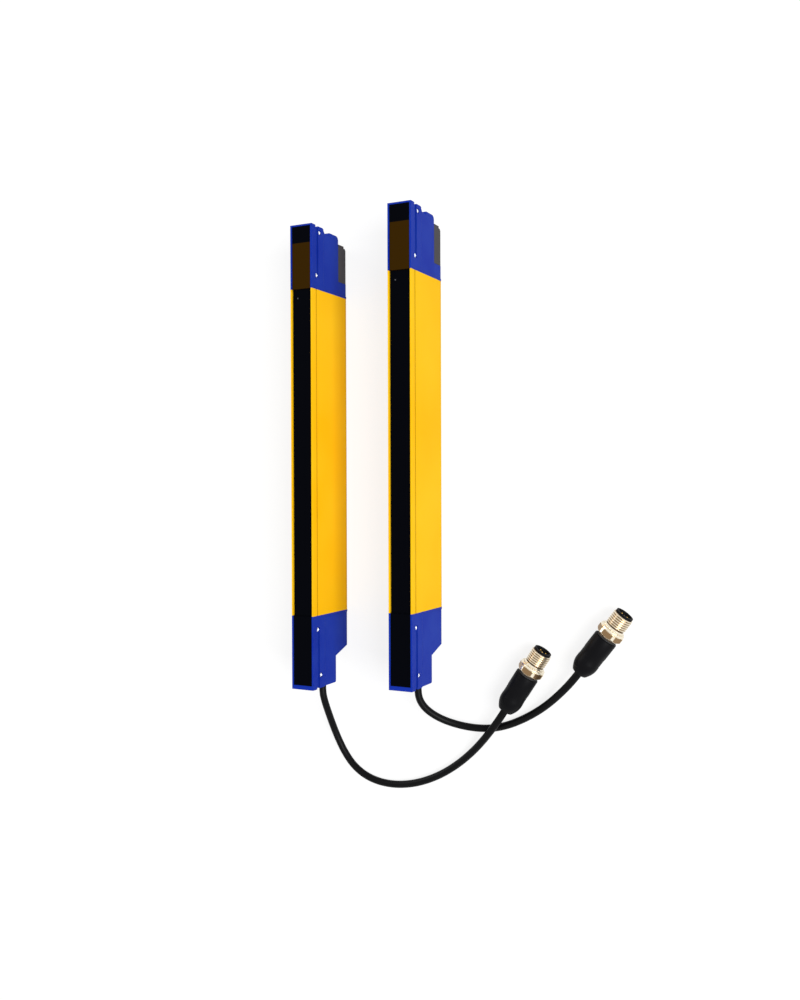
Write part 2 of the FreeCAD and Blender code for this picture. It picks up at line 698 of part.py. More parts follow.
def make_rear_cover(name):
    """Dark cover over the setting switches, flush with the rear of the bar."""
    start = joint_high + s.notch_start + s.cover_gap
    end = start + s.cover_length - s.cover_gap * 2
    width = half - s.cover_inset
    top = s.notch_deep - s.cover_gap
    body = new_body(name)
    extrude(body, name + "_block", "YZ", -width, width, [[
        (start, 0), (end - s.ear_radius, 0), (end - s.cover_lip, s.cover_lip),
        (end - s.cover_lip, s.ear_radius), (end, s.ear_radius), (end, top), (start, top),
    ]])
    tongue_start = joint_high + s.notch_start + (s.cover_length - s.tongue_length) / 2
    extrude(body, name + "_tongue", "XY", top, top + s.tongue_tall,
            [run_box(-s.tongue_width / 2, s.tongue_width / 2, tongue_start, tongue_start + s.tongue_length)])
    extrude(body, name + "_tongue_core", "XY", top, top + s.tongue_tall,
            [run_box(-s.tongue_width / 2 + s.cap_wall, s.tongue_width / 2 - s.cap_wall,
                     tongue_start + s.cap_wall, tongue_start + s.tongue_length - s.cap_wall)], cut=True)
    dress(body, "Fillet", name + "_edges", s.cover_inset,
          lambda p, d: abs(d.y) > 0.99 and near(abs(p.x), width) and near(p.z, 0))
    return body


def make_frame(name, joint, way):
    """Inner frame: plate against the profile, spigot in its chamber and two arms that take the screws."""
    inside = s.spigot_length * way
    plate_start = joint + s.gasket_thick * way
    plate_end = plate_start + s.frame_plate * way
    top = carrier_top
    spigot = rectangle(-inner_half, inner_half, s.floor_level, top)
    core = rectangle(-(inner_half - s.spigot_wall), inner_half - s.spigot_wall,
                     s.floor_level + s.spigot_wall, top - s.spigot_wall)
    low, high = ordered(plate_start, plate_end, way)
    body = new_body(name)
    extrude(body, name + "_plate", "XZ", low, high,
            [rectangle(-plate_half, plate_half, s.mouth_wall + s.edge_play, cap_seat_under - s.edge_play)],
            [((0, s.port_level), s.end_screw_radius + s.screw_clear)])
    low, high = ordered(joint - inside, plate_start, way)
    extrude(body, name + "_spigot", "XZ", low, high, [spigot])
    low, high = ordered(joint - inside - way, plate_end, way)
    extrude(body, name + "_core", "XZ", low, high, [core], cut=True)
    arm = cap_half - s.edge_play
    low, high = ordered(plate_end, joint + (far_screw(way) + s.arm_past) * way, way)
    extrude(body, name + "_arms", "XY", arm_top - s.arm_tall, arm_top,
            [rectangle(s.arm_gap / 2, arm, low, high), rectangle(-arm, -s.arm_gap / 2, low, high)])
    bridge = joint + (s.screw_near + far_screw(way)) / 2 * way
    extrude(body, name + "_bridge", "XY", arm_top - s.arm_tall, arm_top - s.arm_tall / 2,
            [rectangle(-s.arm_gap / 2, s.arm_gap / 2, bridge - s.frame_plate, bridge + s.frame_plate)])
    holes = []
    for _tag, along, back in screw_places(way):
        holes.append(((joint + along * way, s.bar_depth - back), s.screw_radius))
    extrude(body, name + "_screw_holes", "YZ", -half, half, (), holes, cut=True)
    return body


def ordered(start, end, way):
    return (start, end) if way > 0 else (end, start)


def make_frame_gasket(name, joint, way):
    """Flat gasket between the plate of the inner frame and the end of the profile."""
    low, high = ordered(joint, joint + s.gasket_thick * way, way)
    body = new_body(name)
    extrude(body, name + "_sheet", "XZ", low, high,
            [rectangle(-plate_half, plate_half, s.mouth_wall + s.edge_play, cap_seat_under - s.edge_play),
             rectangle(-(inner_half + s.edge_play), inner_half + s.edge_play,
                       s.floor_level - s.edge_play, carrier_top + s.edge_play)],
            [((0, s.port_level), s.end_screw_radius + s.screw_clear)])
    return body


def make_display_board(name):
    """Board for the indicator lights, lying on the arms of the upper frame."""
    start = joint_high + s.mouth_deep + s.edge_play
    body = new_body(name)
    extrude(body, name + "_sheet", "XY", arm_top, arm_top + s.panel_thick - s.light_tall / 4,
            [run_box(-s.panel_width / 2, s.panel_width / 2, start, start + s.panel_length)])
    return body


def make_indicator_lights(name):
    """Row of small indicator lights on the display board."""
    top = arm_top + s.panel_thick - s.light_tall / 4
    start = joint_high + s.mouth_deep + s.light_pitch
    shapes = []
    for i in range(int(s.light_count.value)):
        corner = vector(-s.light_size, start + s.light_pitch * i - s.light_size / 2, top)
        shapes.append(Part.makeBox(s.light_size.value * 2, s.light_size.value, s.light_tall.value, corner))
    return group(name, shapes)


def make_setting_switches(name):
    """Small board with a row of slide switches, lying on the rear wall of the cap over its bay."""
    floor = s.notch_deep + s.cap_wall
    middle = joint_high + s.notch_start + s.cover_length / 2
    wide = s.tongue_width / 2 - s.cap_wall
    long = s.tongue_length / 3
    edge = s.tongue_length / 2 + s.cap_wall
    top = floor + s.board_thick
    body = new_body(name)
    extrude(body, name + "_board", "XY", floor, top,
            [run_box(-(cap_half - s.edge_play), cap_half - s.edge_play, middle - edge, middle + edge)])
    extrude(body, name + "_block", "XY", top, top + s.switch_tall,
            [run_box(-wide, wide, middle - long, middle + long)])
    knobs = []
    count = int(s.switch_count.value)
    for i in range(count):
        spot = middle + s.switch_pitch * (i - (count - 1) / 2)
        knobs.append(run_box(-s.slide_width / 2, s.slide_width / 2,
                             spot - s.panel_thick / 2, spot + s.panel_thick / 2))
    extrude(body, name + "_knobs", "XY", floor - s.light_tall, floor, knobs)
    return body


def make_cap_screws(name):
    """Eight screws with flat heads, four in each cap."""
    shapes = []
    face = half - s.screw_sink
    under = face - s.screw_head_thick
    for joint, way in ((joint_low, -1), (joint_high, 1)):
        for _tag, along, back in screw_places(way):
            for sign in (1, -1):
                out = FreeCAD.Vector(sign, 0, 0)
                y = joint + along * way
                z = s.bar_depth - back
                head = cylinder(s.screw_head, s.screw_head_thick, vector(under * sign, y, z), out)
                shank = cylinder(s.screw_radius, s.screw_length, vector(under * sign, y, z), -out)
                shapes.append(head.fuse(shank).removeSplitter())
    return group(name, shapes)


def make_end_screws(name):
    """Two screws that pull the inner frames against the ends of the profile."""
    shapes = []
    reach = s.gasket_thick + s.frame_plate
    for joint, way in ((joint_low, -1), (joint_high, 1)):
        out = FreeCAD.Vector(0, way, 0)
        seat = vector(0, joint + reach * way, s.port_level)
        head = cylinder(s.end_screw_head, s.end_screw_head_tall, seat, out)
        shank = cylinder(s.end_screw_radius, s.end_screw_length, seat, -out)
        shapes.append(head.fuse(shank).removeSplitter())
    return group(name, shapes)


def make_gland(name):
    """Rubber bushing that the lead leaves through: a flange inside the cap and a tapered nose."""
    body = new_body(name)
    sketch = new_sketch(body, name + "_sketch", "YZ", 0)
    seat = gland_seat + s.edge_play
    back = seat + s.gland_flange_thick
    axis = s.exit_level
    hole = s.gland_radius - s.edge_play
    draw_outline(sketch, [
        (-s.gland_out, axis), (back, axis), (back, axis + s.gland_flange), (seat, axis + s.gland_flange),
        (seat, axis + hole), (s.exit_end, axis + hole), (-s.gland_out, axis + s.gland_nose),
    ])
    feature = body.newObject("PartDesign::Revolution", name + "_turn")
    feature.Profile = sketch
    feature.ReferenceAxis = (sketch, ["Edge1"])
    feature.Angle = 360
    return body


def lead_wire(route):
    """Centre line of a lead: straight runs joined by tangent arcs, with the radius of each arc."""
    corners = [FreeCAD.Vector(*place) for place in route]
    edges = []
    radii = []
    start = corners[0]
    for before, corner, after in zip(corners, corners[1:], corners[2:]):
        into = corner - before
        out = after - corner
        turn = into.getAngle(out)
        shorter = min(into.Length, out.Length)
        reach = 0.45 * shorter
        radii.append(reach / math.tan(turn / 2))
        into.normalize()
        out.normalize()
        arc_start = corner - into * reach
        arc_end = corner + out * reach
        inward = out - into
        inward.normalize()
        rise = radii[-1] / math.cos(turn / 2) - radii[-1]
        edges.append(Part.LineSegment(start, arc_start).toShape())
        edges.append(Part.Arc(arc_start, corner + inward * rise, arc_end).toShape())
        start = arc_end
    edges.append(Part.LineSegment(start, corners[-1]).toShape())
    return Part.Wire(edges), radii


def make_cable(name, route):
    """Round lead along its route."""
    wire, radii = lead_wire(route)
    start = FreeCAD.Vector(*route[0])
    heading = FreeCAD.Vector(*route[1]) - start
    ring = Part.Wire([Part.makeCircle(s.cable_radius.value, start, heading)])
    tube = wire.makePipeShell([ring], True, False)
    expected = math.pi * s.cable_radius.value ** 2 * wire.Length
    print(name, "length %.1f" % wire.Length, "volume ratio %.4f" % (tube.Volume / expected))
    print("  radii", " ".join("%.0f" % radius for radius in radii))
    if abs(tube.Volume / expected - 1) > 0.01:
        raise RuntimeError("the tube of %s does not follow its route" % name)
    feature = doc.addObject("Part::Feature", name)
    feature.Label = name
    feature.Shape = tube
    pieces.append(feature)
    return feature


def make_grip(name):
    """Moulded grip: domed at the lead, bevelled where it meets the sealing ring."""
    body = new_body(name)
    r = s.grip_radius
    rear = s.grip_rear
    rise = r - rear
    dome = [(s.grip_dome * along, rear + rise * up) for along, up in DOME_SHARES]
    revolve(body, name + "_turn", [
        (0, 0), (0, rear), *dome, (s.grip_dome, r), (s.grip_length - s.grip_bevel, r),
        (s.grip_length, r - s.grip_bevel), (s.grip_length, 0),
    ])
    return body


def make_ring(name):
    body = new_body(name)
    low = s.grip_length
    extrude(body, name + "_ring", "YZ", low, low + s.ring_thick, (),
            [((0, 0), s.ring_radius), ((0, 0), insert_radius)])
    return body


def make_nut(name):
    """Coupling nut: hexagon with turned bevels, collar, relief and the thread's outer cylinder."""
    body = new_body(name)
    across = s.nut_flats / 2
    corner = across * (2 / math.sqrt(3))
    angles = [math.radians(60 * i) for i in range(6)]
    hexagon = [(corner * math.cos(a), corner * math.sin(a)) for a in angles]
    extrude(body, name + "_hexagon", "YZ", nut_start, collar_start, [hexagon])
    bevel = s.nut_bevel
    for tag, face, inner in (("rear", nut_start, nut_start + bevel),
                             ("front", collar_start, collar_start - bevel)):
        sketch = new_sketch(body, "%s_%s_bevel_sketch" % (name, tag), "XY", 0)
        draw_outline(sketch, [(face, s.nut_corner - bevel), (face, s.nut_corner + bevel * 2),
                              (inner, s.nut_corner + bevel * 2), (inner, s.nut_corner)])
        groove = body.newObject("PartDesign::Groove", "%s_%s_bevel" % (name, tag))
        groove.Profile = sketch
        groove.ReferenceAxis = (sketch, ["H_Axis"])
        groove.Angle = 360
    revolve(body, name + "_sleeve", [
        (collar_start, 0), (collar_start, s.collar_radius), (relief_start, s.collar_radius),
        (relief_start, s.relief_radius), (thread_start, s.relief_radius), (thread_start, s.thread_radius),
        (nut_end - s.thread_bevel, s.thread_radius), (nut_end, s.thread_radius - s.thread_bevel),
        (nut_end, 0),
    ])
    extrude(body, name + "_bore", "YZ", nut_start - 1, nut_end + 1, (), [((0, 0), s.nut_bore)], cut=True)
    return body


def make_insert(name):
    """Contact carrier that the nut turns on: shank, retaining rim, socket and coding key."""
    body = new_body(name)
    revolve(body, name + "_turn", [
        (s.grip_length, 0), (s.grip_length, insert_radius), (rim_start, insert_radius),
        (rim_start, s.rim_radius), (tip, s.rim_radius), (tip, s.socket_radius),
        (tip - s.socket_deep, s.socket_radius), (tip - s.socket_deep, 0),
    ])
    extrude(body, name + "_key", "YZ", tip - s.socket_deep, tip - s.rim_length,
            [rectangle(-s.key_width / 2, s.key_width / 2,
                       s.socket_radius - s.key_tall, s.socket_radius + s.key_tall / 2)])
    return body


def make_pins(name):
    """Contact pins in the socket, shorter than the rim."""
    start = tip - s.socket_deep - s.pin_root
    length = s.socket_deep + s.pin_root - s.pin_short
    count = int(s.pin_count.value)
    places = [(0.0, 0.0)]
    for i in range(count):
        angle = math.radians(s.pin_turn.value + 360.0 * i / count)
        places.append((s.pin_circle.value * math.cos(angle), s.pin_circle.value * math.sin(angle)))
    shapes = []
    for y, z in places:
        pin = cylinder(s.pin_radius, length, vector(start, y, z), FreeCAD.Vector(1, 0, 0))
        end = [e for e in pin.Edges if near(e.CenterOfMass.x, start + length) and e.Length > 0.1]
        shapes.append(pin.makeChamfer(s.pin_radius.value / 2, end))
    return group(name, shapes)


def place(things, base, rotation=FreeCAD.Rotation()):
    for thing in things:
        thing.Placement = FreeCAD.Placement(base, rotation)


def cut_pin_holes(body, name):
    """Blind holes in the insert that hold the roots of the pins."""
    start = tip - s.socket_deep
    count = int(s.pin_count.value)
    circles = [((0, 0), s.pin_radius)]
    for i in range(count):
        angle = math.radians(s.pin_turn.value + 360.0 * i / count)
        circles.append(((s.pin_circle * math.cos(angle), s.pin_circle * math.sin(angle)), s.pin_radius))
    extrude(body, name + "_pin_holes", "YZ", start - s.pin_root, start, (), circles, cut=True)


def make_bar(prefix, diode_name):
    """All pieces of one bar, in the bar's own frame with Y from its lead end."""
    first = len(pieces)
    make_profile(prefix + "_profile")
    make_window(prefix + "_front_window", joint_low, joint_high, window_half, window_base, window_top)
    make_window_bond(prefix + "_window_bond")
    make_lens_carrier(prefix + "_lens_carrier")
    make_lenses(prefix + "_lenses")
    optic_length = s.profile_length - (s.spigot_length + s.carrier_end) * 2
    make_board(prefix + "_optic_board", s.optic_level, optic_length)
    make_diodes(prefix + diode_name)
    make_control_board(prefix + "_control_board")
    make_top_cap(prefix + "_top_cap")
    amber_end = joint_high + s.amber_length
    window = cap_window_half - s.window_gap
    make_window(prefix + "_indicator_window", joint_high, amber_end, window, cap_window_base, cap_window_top)
    make_window(prefix + "_end_window", amber_end, bar_length - s.bezel_top - s.window_gap,
                window, cap_window_base, cap_window_top)
    make_frame(prefix + "_top_frame", joint_high, 1)
    make_frame_gasket(prefix + "_top_gasket", joint_high, 1)
    make_display_board(prefix + "_display_board")
    make_indicator_lights(prefix + "_indicator_lights")
    make_rear_cover(prefix + "_rear_cover")
    make_setting_switches(prefix + "_setting_switches")
    make_bottom_cap(prefix + "_bottom_cap")
    make_window(prefix + "_bottom_window", s.bezel_bottom + s.window_gap, joint_low, window,
                cap_window_base, cap_window_top)
    make_frame(prefix + "_bottom_frame", joint_low, -1)
    make_frame_gasket(prefix + "_bottom_gasket", joint_low, -1)
    make_cap_screws(prefix + "_cap_screws")
    make_end_screws(prefix + "_end_screws")
    make_gland(prefix + "_cable_gland")
    return pieces[first:]


def make_plug(prefix):
    """All pieces of one plug, with X from the rear of its grip towards the tip."""
    first = len(pieces)
    make_grip(prefix + "_plug_grip")
    make_ring(prefix + "_plug_ring")
    make_nut(prefix + "_plug_nut")
    insert = make_insert(prefix + "_plug_insert")
    cut_pin_holes(insert, prefix + "_plug_insert")
    make_pins(prefix + "_plug_pins")
    return pieces[first:]


BARS = (
    ("emitter", "_infrared_leds", -1, EMITTER_ROUTE),
    ("receiver", "_photodiodes", 1, RECEIVER_ROUTE),
)
for prefix, diode_name, side, route in BARS:
    bar = make_bar(prefix, diode_name)
    corner = vector(s.bar_spacing * side / 2, -bar_length / 2 + s.bar_stagger * side / 2, 0)
    doc.recompute()
    place(bar, corner)
    make_cable(prefix + "_cable", route)
    rear = FreeCAD.Vector(*route[-1])
    heading = rear - FreeCAD.Vector(*route[-2])
    turn = FreeCAD.Rotation(FreeCAD.Vector(0, 0, 1), math.degrees(math.atan2(heading.y, heading.x)))
    plug = make_plug(prefix)
    doc.recompute()
    place(plug, rear, turn)
doc.recompute()

for thing in doc.Objects:
    if "Invalid" in thing.State or "Error" in thing.State:
        raise RuntimeError("%s did not build: %s" % (thing.Name, thing.State))
    if thing.TypeId in ("PartDesign::Pocket", "PartDesign::Groove"):
        if thing.Shape.Volume > thing.BaseFeature.Shape.Volume - 1e-3:
            raise RuntimeError("%s cuts nothing" % thing.Name)
for piece in pieces:
    if piece.Shape.isNull() or not piece.Shape.isValid():
        raise RuntimeError("%s is not a valid solid" % piece.Label)

os.makedirs("parts", exist_ok=True)
for piece in pieces:
    piece.Shape.exportStep("parts/%s.step" % piece.Label)
print(len(pieces), "pieces written")
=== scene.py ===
"""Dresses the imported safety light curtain: emitter bar, receiver bar, their leads and plugs."""
import math

import bpy
from mathutils import Matrix, Vector


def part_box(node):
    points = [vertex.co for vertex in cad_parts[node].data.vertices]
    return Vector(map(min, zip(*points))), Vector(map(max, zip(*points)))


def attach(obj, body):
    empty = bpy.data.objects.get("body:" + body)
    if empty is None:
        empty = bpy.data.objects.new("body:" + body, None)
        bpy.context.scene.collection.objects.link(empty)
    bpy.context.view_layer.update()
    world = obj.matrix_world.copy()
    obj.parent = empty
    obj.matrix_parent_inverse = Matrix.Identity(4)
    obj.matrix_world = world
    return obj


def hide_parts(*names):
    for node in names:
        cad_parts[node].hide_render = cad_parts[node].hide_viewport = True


bl_info = {
    "name": "Safety light curtain",
    "version": (1, 0, 0),
    "blender": (4, 5, 0),
    "location": "View3D > Sidebar > Light curtain",
    "description": "Finishes, leads and plugs for a pair of light curtain bars",
    "category": "Object",
}

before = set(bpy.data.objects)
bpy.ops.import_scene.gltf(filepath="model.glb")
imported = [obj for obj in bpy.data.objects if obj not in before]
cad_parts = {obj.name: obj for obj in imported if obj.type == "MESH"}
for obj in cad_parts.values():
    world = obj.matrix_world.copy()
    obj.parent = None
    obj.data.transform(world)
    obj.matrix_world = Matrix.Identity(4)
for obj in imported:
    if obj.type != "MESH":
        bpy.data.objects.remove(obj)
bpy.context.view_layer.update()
BARS = ("emitter", "receiver")
ROOT_BODY = "curtain"
MM = 0.001

# Control points of the two leads, in metres, from the bushing to the rear of the plug's grip.
LEAD_ROUTES = {
    "emitter": [
        (-0.0330, -0.1435, 0.0182), (-0.0330, -0.1480, 0.0182), (-0.0326, -0.1529, 0.0170),
        (-0.0323, -0.1579, 0.0148), (-0.0322, -0.1633, 0.0118), (-0.0319, -0.1690, 0.0088),
        (-0.0311, -0.1750, 0.0061), (-0.0293, -0.1816, 0.0040), (-0.0260, -0.1888, 0.0027),
        (-0.0202, -0.1962, 0.0023), (-0.0120, -0.2016, 0.00225), (-0.0020, -0.2045, 0.00225),
        (0.0096, -0.2049, 0.00225), (0.0215, -0.2028, 0.00225), (0.0328, -0.1987, 0.00225),
        (0.0434, -0.1930, 0.00225), (0.0532, -0.1859, 0.0024), (0.0616, -0.1783, 0.0032),
        (0.0690, -0.1706, 0.0057), (0.0754, -0.1629, 0.0077), (0.0805, -0.1559, 0.0079),
        (0.0842, -0.1501, 0.0079),
    ],
    "receiver": [
        (0.0330, -0.1385, 0.0182), (0.0330, -0.1430, 0.0182), (0.0339, -0.1478, 0.0171),
        (0.0362, -0.1522, 0.0150), (0.0398, -0.1560, 0.0121), (0.0445, -0.1593, 0.0088),
        (0.0504, -0.1618, 0.0057), (0.0574, -0.1634, 0.0035), (0.0654, -0.1639, 0.0024),
        (0.0746, -0.1630, 0.00225), (0.0844, -0.1600, 0.00225), (0.0940, -0.1553, 0.0023),
        (0.1032, -0.1495, 0.0031), (0.1116, -0.1428, 0.0049), (0.1187, -0.1360, 0.0069),
        (0.1242, -0.1301, 0.0079), (0.1283, -0.1247, 0.0079),
    ],
}

# Coupling nut in millimetres: places along the plug from the rear of the grip, then radii.
NUT_START, HEX_START, HEX_END, FLANGE_START, FLANGE_END = 26.5, 27.1, 30.7, 30.9, 32.5
COLLAR_END, THREAD_START, NUT_END = 33.7, 34.2, 41.8
NECK_RADIUS, HEX_FLAT, HEX_CORNER, HEX_FACE, HEX_BEVEL = 5.6, 7.0, 7.7, 6.6, 1.1
FLANGE_RADIUS, COLLAR_RADIUS, RELIEF_RADIUS, THREAD_BEVEL, NUT_BORE = 7.45, 6.4, 5.35, 0.5, 4.75
NOTCHES, NOTCH_DEPTH = 18, 0.2
BEVEL_STEPS = 6
STEPS_A_TURN = 12
# How steep the drawn thread's flanks are, and the painted light level of its metal: 1 on turned faces,
# slightly less on the collar, lower on the flats with their painted darker reflection, and 0 in the roots,
# where shade is painted.
FLANK_SLOPE, FLAT_LIGHT_LEVEL, COLLAR_LIGHT_LEVEL, ROOT_PAINTED_SHADE = 1.15, 0.35, 0.8, 0.6

# Cap screw in millimetres: place along it from the tip, and radius. Then length and width of a recess arm.
SCREW_RINGS = (
    (0.0, 0.5), (0.4, 0.85), (3.0, 0.85), (3.0, 1.2), (3.1, 1.3), (3.4, 1.27), (3.65, 1.1), (3.8, 0.8),
)
RECESS_LONG, RECESS_WIDE = 1.5, 0.4

# Synchronising lens: height in millimetres and share of its radius, then its place on the window.
SYNC_RINGS = ((-0.3, 1.0), (0.0, 1.0), (0.08, 0.8), (0.14, 0.4))
SYNC_ACROSS, SYNC_FROM_END = 3.2, 5.4

# Grip in millimetres: place along the plug and radius of each ring.
GRIP_RINGS = (
    (0.0, 2.9), (0.0, 4.0), (0.25, 4.45), (1.2, 5.05), (2.4, 5.65), (3.8, 6.25), (5.2, 6.65), (6.6, 6.85),
    (9.0, 6.85), (9.4, 6.72), (14.6, 6.72), (15.0, 6.85), (24.9, 6.85), (25.3, 6.7), (25.6, 6.2),
    (25.6, 5.0),
)
LATHE_SIDES = 144

# Distances over which the patterns of the finishes repeat, in metres.
COAT_PATCH, PLASTIC_PATCH, JACKET_PATCH = 0.06, 0.02, 0.008
ACRYLIC_WAVE, ACRYLIC_DUST = 0.03, 0.004
JACKET_BLOOM, RUBBER_BLOOM = 0.0006, 0.0008
TURNING_MARKS, ZINC_HAZE, GOLD_MARKS, RESIN_HAZE = 0.0003, 0.0005, 0.0004, 0.002
TRACK_PITCH = 0.004

# Stage, in metres. The camera's axes are unit vectors.
FLOOR_SIZE, FLOOR_GLOW = 6.0, 0.82
LAMP_AIM = (0.0, 0.0, 0.02)
KEY_PLACE, KEY_SIZE = (1.6, -0.2, 1.4), 1.2
SIDE_PLACE, SIDE_SIZE, SIDE_SHARE = (-1.7, 1.0, 0.75), 1.4, 0.42
SENSOR_WIDTH = 36
CAMERA_PLACE = (0.28999, -0.02045, 0.55309)
CAMERA_RIGHT = (0.89367, -0.00303, -0.44871)
CAMERA_UP = (-0.003, 0.99991, -0.01273)
CAMERA_BACK = (0.44871, 0.01272, 0.89358)


def linear(hex_code, alpha=1.0):
    """Linear colour of an sRGB hex value."""
    values = [int(hex_code[i:i + 2], 16) / 255 for i in (1, 3, 5)]
    return tuple(v / 12.92 if v <= 0.04045 else ((v + 0.055) / 1.055) ** 2.4 for v in values) + (alpha,)


def colour(name, note, hex_code):
    """Colour property with that sRGB default."""
    return bpy.props.FloatVectorProperty(
        name=name, description=note, subtype="COLOR", size=4, min=0, max=1, default=linear(hex_code))


def length(name, note, default):
    """Length property in metres."""
    return bpy.props.FloatProperty(name=name, description=note, default=default, min=0, unit="LENGTH")


class CurtainColours(bpy.types.PropertyGroup):
    """Colours of the finishes."""
    housing: colour("Housing", "Yellow powder coat", "#FEC007")
    housing_pale: colour("Housing, pale", "Lighter patches of the powder coat", "#FFC91A")
    cap: colour("End caps", "Blue moulded plastic", "#0F2C9E")
    cap_pale: colour("End caps, pale", "Lighter grain of the blue plastic", "#1B38A4")
    window: colour("Window", "Near-black filter sheet", "#020308")
    amber: colour("Indicator window", "Amber-smoked sheet", "#342000")
    cover: colour("Rear cover", "Dark grey moulded plastic", "#464447")
    black: colour("Black plastic", "Inner mouldings and the contact insert", "#121214")
    jacket: colour("Lead jacket", "Black jacket of the leads", "#070708")
    grip: colour("Plug grip", "Black overmoulding", "#09090B")
    brass: colour("Nut", "Turned and plated faces of the nut", "#EFE5CF")
    # The next two colours are painted light: a darker reflection painted on the nut's flats, and shade
    # painted in the thread roots and neck.
    brass_painted_flat_reflection: colour("Nut, flats", "Drawn flats of the nut", "#8E7251")
    brass_painted_root_shade: colour("Nut, roots", "Thread roots and neck, where the plating stays dull", "#5E4D3A")
    steel: colour("Screws", "Zinc-plated steel", "#EEF1F8")


class CurtainSizes(bpy.types.PropertyGroup):
    """Sizes of the details."""
    lead_diameter: length("Lead diameter", "Outside of the jacket", 0.0044)
    thread_radius: length("Thread radius", "Outer radius of the M12 thread", 0.006)
    # The real thread has a 1 mm pitch; it is drawn coarser so that its turns show in a render.
    thread_pitch: length("Thread pitch", "Distance between the drawn turns", 0.0013)
    thread_depth: length("Thread depth", "From crest to root", 0.0006)
    grain: length("Moulded grain", "Spark-eroded grain of the plastic", 0.0004)
    peel: length("Orange peel", "Waviness of the powder coat", 0.0012)
    moulded_edge: length("Moulded edge", "Radius along the edges of the caps and covers", 0.00035)
    sync_lens: length("Synchronising lens", "Radius of the small lens in each window", 0.0004)
    screw_recess: length("Screw recess", "Depth of the cross recess", 0.0004)


class CurtainStage(bpy.types.PropertyGroup):
    """Camera and light."""
    lens: bpy.props.FloatProperty(
        name="Lens", description="Focal length on a 36 mm sensor", default=36, min=1, unit="CAMERA")
    key: bpy.props.FloatProperty(
        name="Key light", description="Power of the main lamp, in watts", default=46, min=0, unit="POWER")
    fill: bpy.props.FloatProperty(
        name="Fill", description="Strength of the world on the object", default=0.35, min=0, unit="NONE")


def add_node(tree, kind, settings=None, links=None):
    """Adds a node, sets its attributes or unlinked inputs, and links its other inputs."""
    node = tree.nodes.new(kind)
    for key, value in (settings or {}).items():
        if hasattr(node, str(key)):
            setattr(node, key, value)
        else:
            node.inputs[key].default_value = value
    for key, source in (links or {}).items():
        tree.links.new(source, node.inputs[key])
    return node


def new_finish(name, base, rough, settings=None):
    """Material with a Principled shader, and the Object coordinates its patterns start from."""
    material = bpy.data.materials.new(name)
    material.use_nodes = True
    tree = material.node_tree
    shader = tree.nodes["Principled BSDF"]
    shader.inputs["Base Color"].default_value = base
    shader.inputs["Roughness"].default_value = rough
    for key, value in (settings or {}).items():
        shader.inputs[key].default_value = value
    place = add_node(tree, "ShaderNodeTexCoord").outputs["Object"]
    material.diffuse_color = base
    return material, tree, shader, place


def blend_colours(tree, shader, factor, first, second, low=0.35, high=0.65):
    """Base colour runs from first to second as the factor rises from low to high."""
    ramp = add_node(tree, "ShaderNodeValToRGB", {}, {"Fac": factor})
    for element, at, shade in zip(ramp.color_ramp.elements, (low, high), (first, second)):
        element.position = at
        element.color = shade
    tree.links.new(ramp.outputs["Color"], shader.inputs["Base Color"])
    return ramp


def vary_roughness(tree, shader, factor, low, high):
    """Roughness runs from low to high with the factor."""
    spread = add_node(tree, "ShaderNodeMapRange", {"To Min": low, "To Max": high}, {"Value": factor})
    tree.links.new(spread.outputs["Result"], shader.inputs["Roughness"])


def raise_surface(tree, shader, factor, height, strength=1.0, edge=0.0):
    """Relief of that height; an edge radius also rounds the sharp edges in the shading."""
    links = {"Height": factor}
    if edge:
        rounded = add_node(tree, "ShaderNodeBevel", {"samples": 4, "Radius": edge})
        links["Normal"] = rounded.outputs["Normal"]
    bump = add_node(tree, "ShaderNodeBump", {"Distance": height, "Strength": strength}, links)
    tree.links.new(bump.outputs["Normal"], shader.inputs["Normal"])


def paint_crease_shade(tree, shader, reach, darkest):
    """Painted shade in corners and creases: the base colour falls towards that share of itself where
    ambient occlusion finds surfaces within the reach.
    """
    worked = shader.inputs["Base Color"].links[0].from_socket
    near = add_node(tree, "ShaderNodeAmbientOcclusion", {"samples": 6, "Distance": reach})
    level = add_node(tree, "ShaderNodeMapRange", {"From Min": 0.45, "From Max": 0.95, "To Min": darkest},
                     {"Value": near.outputs["AO"]})
    crease_shaded = add_node(tree, "ShaderNodeMix", {"data_type": "RGBA", "blend_type": "MULTIPLY", 0: 1.0},
                      {6: worked, 7: level.outputs["Result"]})
    tree.links.new(crease_shaded.outputs[2], shader.inputs["Base Color"])


def powder_coat(colours, sizes):
    """Polyester powder on extruded aluminium: an even satin with a faint orange peel."""
    material, tree, shader, place = new_finish("yellow_powder_coat", colours.housing, 0.42,
                                               {"IOR": 1.5, "Specular IOR Level": 0.04})
    patches = add_node(tree, "ShaderNodeTexNoise", {"Scale": 1 / COAT_PATCH, "Detail": 2.0},
                       {"Vector": place})
    blend_colours(tree, shader, patches.outputs["Fac"], colours.housing, colours.housing_pale)
    # Painted shade: the yellow falls to half its colour in creases and corners within 1.6 mm.
    paint_crease_shade(tree, shader, 1.6 * MM, 0.5)
    peel = add_node(tree, "ShaderNodeTexNoise", {"Scale": 1 / sizes.peel, "Detail": 2.0},
                    {"Vector": place})
    vary_roughness(tree, shader, peel.outputs["Fac"], 0.36, 0.48)
    raise_surface(tree, shader, peel.outputs["Fac"], 0.02 * MM, 0.6, sizes.moulded_edge)
    return material


